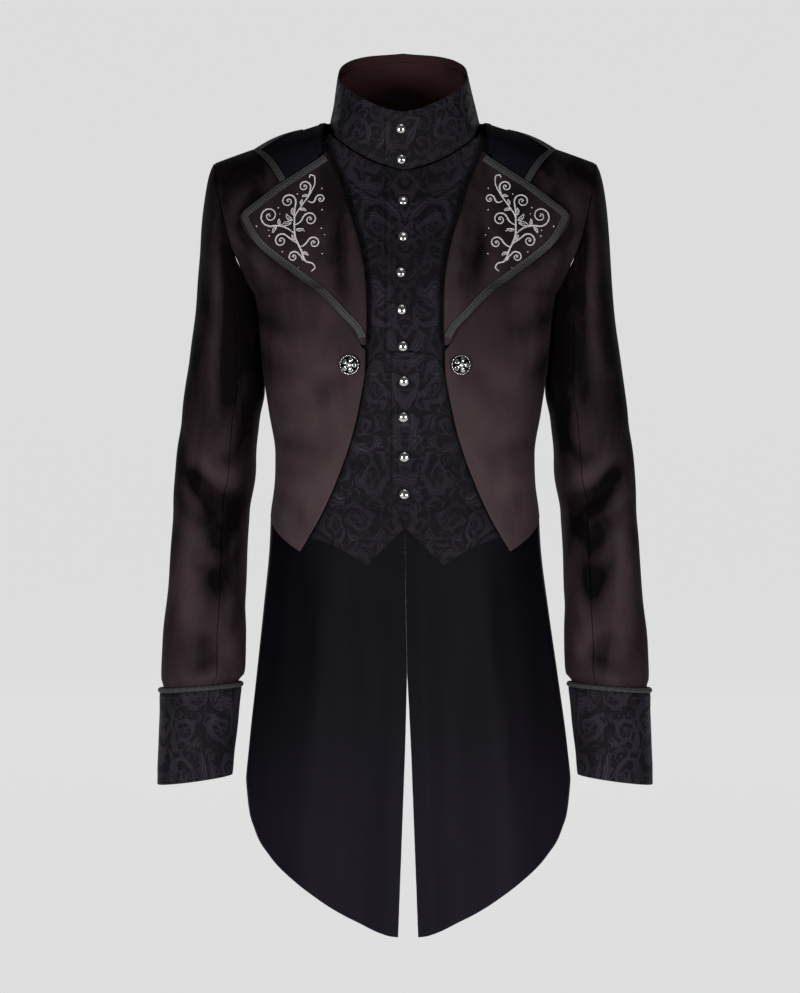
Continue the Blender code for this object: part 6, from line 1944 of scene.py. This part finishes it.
def grown(name, tree, places, edges, settings, sizes=None):
    """Runs a tree over some points or lines and keeps the result as a plain mesh."""
    seed_mesh = bpy.data.meshes.new(name + "_line")
    seed_mesh.from_pydata((np.asarray(places) * TO_METRES).tolist(), edges, [])
    if sizes is not None:
        carried = seed_mesh.attributes.new("knot_size", "FLOAT", "POINT")
        carried.data.foreach_set("value", np.asarray(sizes, np.float32))
    holder = bpy.data.objects.new(name + "_line", seed_mesh)
    bpy.context.scene.collection.objects.link(holder)
    grow = holder.modifiers.new("grow", "NODES")
    grow.node_group = tree
    for item in tree.interface.items_tree:
        if item.in_out == "INPUT" and item.name in settings:
            grow[item.identifier] = settings[item.name]
    bpy.context.view_layer.update()
    made = bpy.data.meshes.new_from_object(holder.evaluated_get(bpy.context.evaluated_depsgraph_get()))
    holder.modifiers.remove(grow)
    bpy.data.objects.remove(holder, do_unlink=True)
    made.name = name
    piece = bpy.data.objects.new(name, made)
    bpy.context.scene.collection.objects.link(piece)
    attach(piece, "root")
    return piece

STITCHES, KNOTS = stitch_tree(), knot_tree()
knot_rows = np.array(knots)
for side, turn in (("left", np.asarray), ("right", mirrored)):
    places, _ = on_lapel(knot_rows[:, 0], knot_rows[:, 1], 0.2)
    settings = {"Size": TO_METRES, "Finish": SILVER_THREAD}
    grown("knots_" + side, KNOTS, turn(places), [], settings, knot_rows[:, 2])
print("knots on each lapel:", len(knots))

# %% [markdown]
# ## Rows of stitching
# Topstitching holds every turned edge flat. It runs at an even distance from the edge, so each row is drawn on
# the same form as its cloth, a little inside the edge, and sits half sunk in it.

# %% Topstitching
STITCH_LENGTH = 2.3
STITCH_SPACING = 3.4
STITCH_THICKNESS = 0.26
EDGE_STITCH = 4.6

def coat_row(path, rise=0.0):
    across, down = form_place(path[:, 0], path[:, 1])
    return on_form(across, down, rise)

def vest_row(path, lift):
    across, down = form_place(path[:, 0], path[:, 1])
    return on_form(across, down, lift - vest_depth(across) + overlap_rise(path[:, 0]))

rows = []
zs = np.linspace(CLOSED_EDGE_Z - 4.0, FRONT_TIP_Z + 16.0, 60)
front_edge = np.stack([FRONT_EDGE["x"](zs), zs], axis=-1)
front_row = coat_row(front_edge + np.array([EDGE_STITCH, 0.0]), 0.05)
rows += [front_row, mirrored(front_row)]

for inset in (5.0, 7.6):
    xs = np.concatenate([np.linspace(4.0, 46.0, 24), np.linspace(46.0, 120.0, 30)[1:]])
    levels = np.interp(
        xs, [row[0] for row in PANEL_HEM_ROWS], [row[1] for row in PANEL_HEM_ROWS]
    ) + inset * 1.3
    row = vest_row(np.stack([xs, levels], axis=-1), WAIST_PANEL_RISE + 0.05)
    rows.append(row)
    across, down = form_place(xs, levels)
    rows.append(mirrored(on_form(across, down, WAIST_PANEL_RISE + 0.05 - vest_depth(across))))

top_x = np.linspace(-10.0, 39.0, 40)
top_z = panel_top_z(np.abs(top_x)) - 5.0
rows.append(vest_row(np.stack([top_x, top_z], axis=-1), WAIST_PANEL_RISE + 0.05))
closing_z = np.linspace(-64.0, -262.0, 60)
rows.append(vest_row(np.stack([np.full(60, -18.6), closing_z], axis=-1), 0.05))
closing_z = np.linspace(-280.0, -430.0, 50)
rows.append(vest_row(np.stack([np.full(50, -11.6), closing_z], axis=-1), WAIST_PANEL_RISE + 0.05))

angles = np.linspace(-11.0, 350.0, 220)
out = np.where(angles < 90, overlap_rise(NECK_X * np.sin(np.radians(angles))), 0.0)
for share in (0.9, 0.1):
    soft = 0.5 * soft_noise(
        angles * 1.3, np.full(len(angles), share * 60.0), 60.0, 5
    ) * ease(share, 0.1, 0.4)
    ring, _ = collar_points(angles, [share], (out + soft)[None] + 0.05)
    rows.append(ring[0])
for part in (0.055, 0.95):
    angles = np.linspace(0, 360, 130)
    ring = cuff_ring(part, angles)
    rows += [ring, mirrored(ring)]

lines = [resampled(row, 1.0) for row in rows]
places = np.concatenate(lines)
starts = np.cumsum([0] + [len(line) for line in lines[:-1]])
edges = [(int(s) + i, int(s) + i + 1) for s, line in zip(starts, lines) for i in range(len(line) - 1)]
settings = {
    "Spacing": STITCH_SPACING * TO_METRES,
    "Length": STITCH_LENGTH / 2 * TO_METRES,
    "Thickness": STITCH_THICKNESS * TO_METRES,
    "Finish": DARK_THREAD,
}
sewn = grown("topstitching", STITCHES, places, edges, settings)
print("rows of stitching:", len(rows), "faces:", len(sewn.data.polygons))

# %% [markdown]
# ## Buttons
# Small domed buttons run down the closing, polished so that they mirror the studio. The two large ones have a
# cast relief: a plain rosette of petals inside a rope rim. A relief like that is struck into the metal, so it
# is one skin whose height is worked out round the button, not parts laid on top.

# %% Small and large buttons
def collar_spot(x, z):
    """A place on the stand collar's lapped front, with the way it faces."""
    turn = math.asin(x / RIM_HALF_WIDTH)
    base, rim = collar_base([math.degrees(turn)])[0], collar_rim([math.degrees(turn)])[0]
    share = (z - base[2]) / (rim[2] - base[2])
    out = overlap_rise(x) - COLLAR_BUTTON_SINK
    away = np.array([math.sin(turn), -math.cos(turn), 0.0])
    climb = rim - base
    facing = away - climb * float(away @ climb) / float(climb @ climb)
    return base + climb * share + away * out, facing / np.linalg.norm(facing)

def struck(name, radius, heights, hollows, place, facing, sides=64):
    """A metal button: a face whose height depends on the radius and the turn, over a shank."""
    shares = np.concatenate([[0.0], np.linspace(0.03, 1.0, 34)])
    turn = np.linspace(0, 2 * math.pi, sides, endpoint=False)
    r, a = np.meshgrid(shares, turn, indexing="ij")
    high = heights(r, a)
    back = [(1.0, high[-1].mean() - 0.9), (0.93, 1.7), (0.3, 1.6), (0.28, 0.6), (0.0, 0.6)]
    ring_r = [*(radius * share for share in shares), *(radius * share for share, _ in back)]
    rings = [np.stack([np.cos(turn) * s, np.sin(turn) * s, np.broadcast_to(h, turn.shape)], axis=-1)
             for s, h in zip(ring_r, [*high, *(level for _, level in back)])]
    piece = placed_rings(name, rings, place, facing)
    raised = np.full((len(rings), sides), 0.5)
    raised[:len(high)] = hollows(r, a)
    flat = np.concatenate([raised[:1, 0], raised[1:-1].ravel(), raised[-1:, 0]])
    piece.data.attributes.new("painted_light_and_hollows", "FLOAT", "POINT").data.foreach_set("value", flat.astype(np.float32))
    return piece

def placed_rings(name, rings, place, facing):
    """A closed skin over rings whose first and last are points, turned to face a way."""
    sides = len(rings[0])
    points = [rings[0].mean(axis=0)] + [p for ring in rings[1:-1] for p in ring] + [rings[-1].mean(axis=0)]
    count = len(rings) - 2
    faces = [(0, 1 + j, 1 + (j + 1) % sides) for j in range(sides)]
    for i in range(count - 1):
        a, b = 1 + i * sides, 1 + (i + 1) * sides
        faces += [(a + j, b + j, b + (j + 1) % sides, a + (j + 1) % sides) for j in range(sides)]
    last = 1 + (count - 1) * sides
    faces += [(last + j, len(points) - 1, last + (j + 1) % sides) for j in range(sides)]
    turn = np.array(Vector(facing).to_track_quat("Z", "Y").to_matrix())
    mesh = bpy.data.meshes.new(name)
    mesh.from_pydata(((np.array(points) @ turn.T + np.asarray(place)) * TO_METRES).tolist(), [], faces)
    piece = finished(name, mesh, SILVER_METAL)
    if signed_volume(piece) < 0:
        piece.data.flip_normals()
    return piece

def dome(r, a):
    return 2.1 + 3.7 * np.sqrt(np.clip(1 - (0.97 * r) ** 2.2, 0, None)) + 0 * a

PETALS = 5

def relief(r, a):
    """The rosette's relief: a ring of petals round a boss, inside a rope rim."""
    petal = np.abs(np.cos(a * PETALS / 2))
    outer = 1.0 * ease(petal, 0.35, 0.8) * ease(r, 0.30, 0.4) * (
        1 - ease(r, 0.5 + 0.22 * petal, 0.58 + 0.22 * petal)
    )
    heart = 1.2 * np.sqrt(np.clip(1 - (r / 0.22) ** 2, 0, None))
    rope = 0.8 * np.exp(-(((r - 0.93) / 0.05) ** 2)) * (0.7 + 0.3 * np.sin(a * 18 + r * 20))
    return outer + heart + rope

def rosette(r, a):
    """A domed button with a rosette."""
    return 3.6 + 2.6 * (1 - r**2) + relief(r, a) - 1.2 * ease(r, 0.95, 1.0)

def darkened(r, a):
    """Bright on top of the relief and dark between."""
    return np.clip(0.02 + 0.9 * relief(r, a), 0, 1)

def plain(r, a):
    return 0.5 + 0 * r

for i, (x, z) in enumerate(SMALL_BUTTON_ROWS):
    if i < COLLAR_BUTTONS:
        place, facing = collar_spot(x, z)
    else:
        across, down = form_place(np.array([x]), np.array([z]))
        rise = overlap_rise(x) - vest_depth(across)
        if i >= FIRST_WAIST_BUTTON:
            rise = rise + WAIST_PANEL_RISE
        place, facing = on_form(across, down, rise)[0], form_normal(across, down)[0]
    name = f"button_{i + 1:02d}"
    stands_for(struck(name + "_metal", SMALL_BUTTON_RADIUS, dome, plain, place, facing, 40), "silver", name)
for name, side in (("left", 1), ("right", -1)):
    across, down = form_place(np.array([LARGE_BUTTON_X]), np.array([LARGE_BUTTON_Z]))
    place, facing = on_form(across, down)[0] * (side, 1, 1), form_normal(across, down)[0] * (side, 1, 1)
    node = "front_button_" + name
    stands_for(
        struck(node + "_metal", LARGE_BUTTON_RADIUS, rosette, darkened, place, facing, 160), "silver", node
    )
print("buttons:", len(SMALL_BUTTON_ROWS) + 2)

# %% [markdown]
# ## Studio
# A coat on a ghost mannequin is lit with large soft lights on a pale sweep: a broad key from one side, a fill from
# the other and a small light from above, while the glowing sweep behind catches the velvet's pile. The camera
# stands far off and level, so the coat's sides run straight.

# %% Sweep, lights and camera
FLOOR_Z = -1.06
SWEEP_RADIUS = 1.2
SWEEP_START = 7.0
SWEEP_TOP = 7.1
WALL_Y = SWEEP_START + SWEEP_RADIUS
turn = np.linspace(0, math.pi / 2, 24)
profile = [(-1.2, FLOOR_Z), (0.9, FLOOR_Z), (SWEEP_START, FLOOR_Z)]
profile += [
    (SWEEP_START + SWEEP_RADIUS * math.sin(a), FLOOR_Z + SWEEP_RADIUS * (1 - math.cos(a))) for a in turn[1:]
]
profile += [(WALL_Y, SWEEP_TOP)]
sweep_mesh = bpy.data.meshes.new("sweep")
half_widths = np.interp([y for y, z in profile], (0.9, WALL_Y), (1.7, 6.6))
sweep_mesh.from_pydata(
    [(k * width, y, z) for (y, z), width in zip(profile, half_widths.tolist()) for k in (-1, 1)],
    [],
    [(2 * i, 2 * i + 1, 2 * i + 3, 2 * i + 2) for i in range(len(profile) - 1)],
)
paper = Tree("pale_paper", (0.03, 0.03, 0.03), 0.95)
paper.set("Emission Color", (1.0, 1.0, 1.005, 1))
paper.set("Emission Strength", 0.705)
sweep_mesh.materials.append(paper.material)
sweep_mesh.shade_smooth()
sweep = bpy.data.objects.new("sweep", sweep_mesh)
bpy.context.scene.collection.objects.link(sweep)

LIGHT_COLUMNS = ("name", "place", "size", "watts")
LIGHT_ROWS = (
    ("key", (-1.5, -2.9, -0.85), 0.7, 78.0),
    ("fill", (1.6, -2.9, -0.85), 0.8, 62.0),
    ("over", (0.3, -1.6, 2.2), 1.4, 8.0),
)
aim = Vector((0.0, 0.0, -0.42))
for row in LIGHT_ROWS:
    light = dict(zip(LIGHT_COLUMNS, row))
    data = bpy.data.lights.new(light["name"], "AREA")
    data.size = light["size"]
    data.energy = light["watts"]
    lamp = bpy.data.objects.new(light["name"], data)
    lamp.location = light["place"]
    lamp.rotation_euler = (aim - lamp.location).to_track_quat("-Z", "Y").to_euler()
    bpy.context.scene.collection.objects.link(lamp)
world = bpy.data.worlds.new("studio_air")
world.use_nodes = True
world.node_tree.nodes["Background"].inputs["Color"].default_value = (0.86, 0.86, 0.87, 1)
world.node_tree.nodes["Background"].inputs["Strength"].default_value = 0.09
bpy.context.scene.world = world

CAMERA_AWAY = 4.5
VIEW_HEIGHT = 1.1916
CENTRE = Vector((-0.006, 0.0, -0.440))
lens = bpy.data.cameras.new("camera")
lens.lens = lens.sensor_width * CAMERA_AWAY / VIEW_HEIGHT
camera = bpy.data.objects.new("camera", lens)
camera.location = CENTRE + Vector((0.0, -CAMERA_AWAY, 0.0))
camera.rotation_euler = (math.pi / 2, 0.0, 0.0)
bpy.context.scene.collection.objects.link(camera)
bpy.context.scene.camera = camera
bpy.context.scene.view_settings.view_transform = "Standard"
print("lens:", round(lens.lens, 2), "mm")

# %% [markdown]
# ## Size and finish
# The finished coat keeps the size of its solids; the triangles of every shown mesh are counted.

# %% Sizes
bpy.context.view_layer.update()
triangles = sum(
    len(thing.data.polygons) * 2
    for thing in bpy.context.scene.objects if thing.type == "MESH" and not thing.hide_render
)
print("about", triangles, "triangles in the scene")
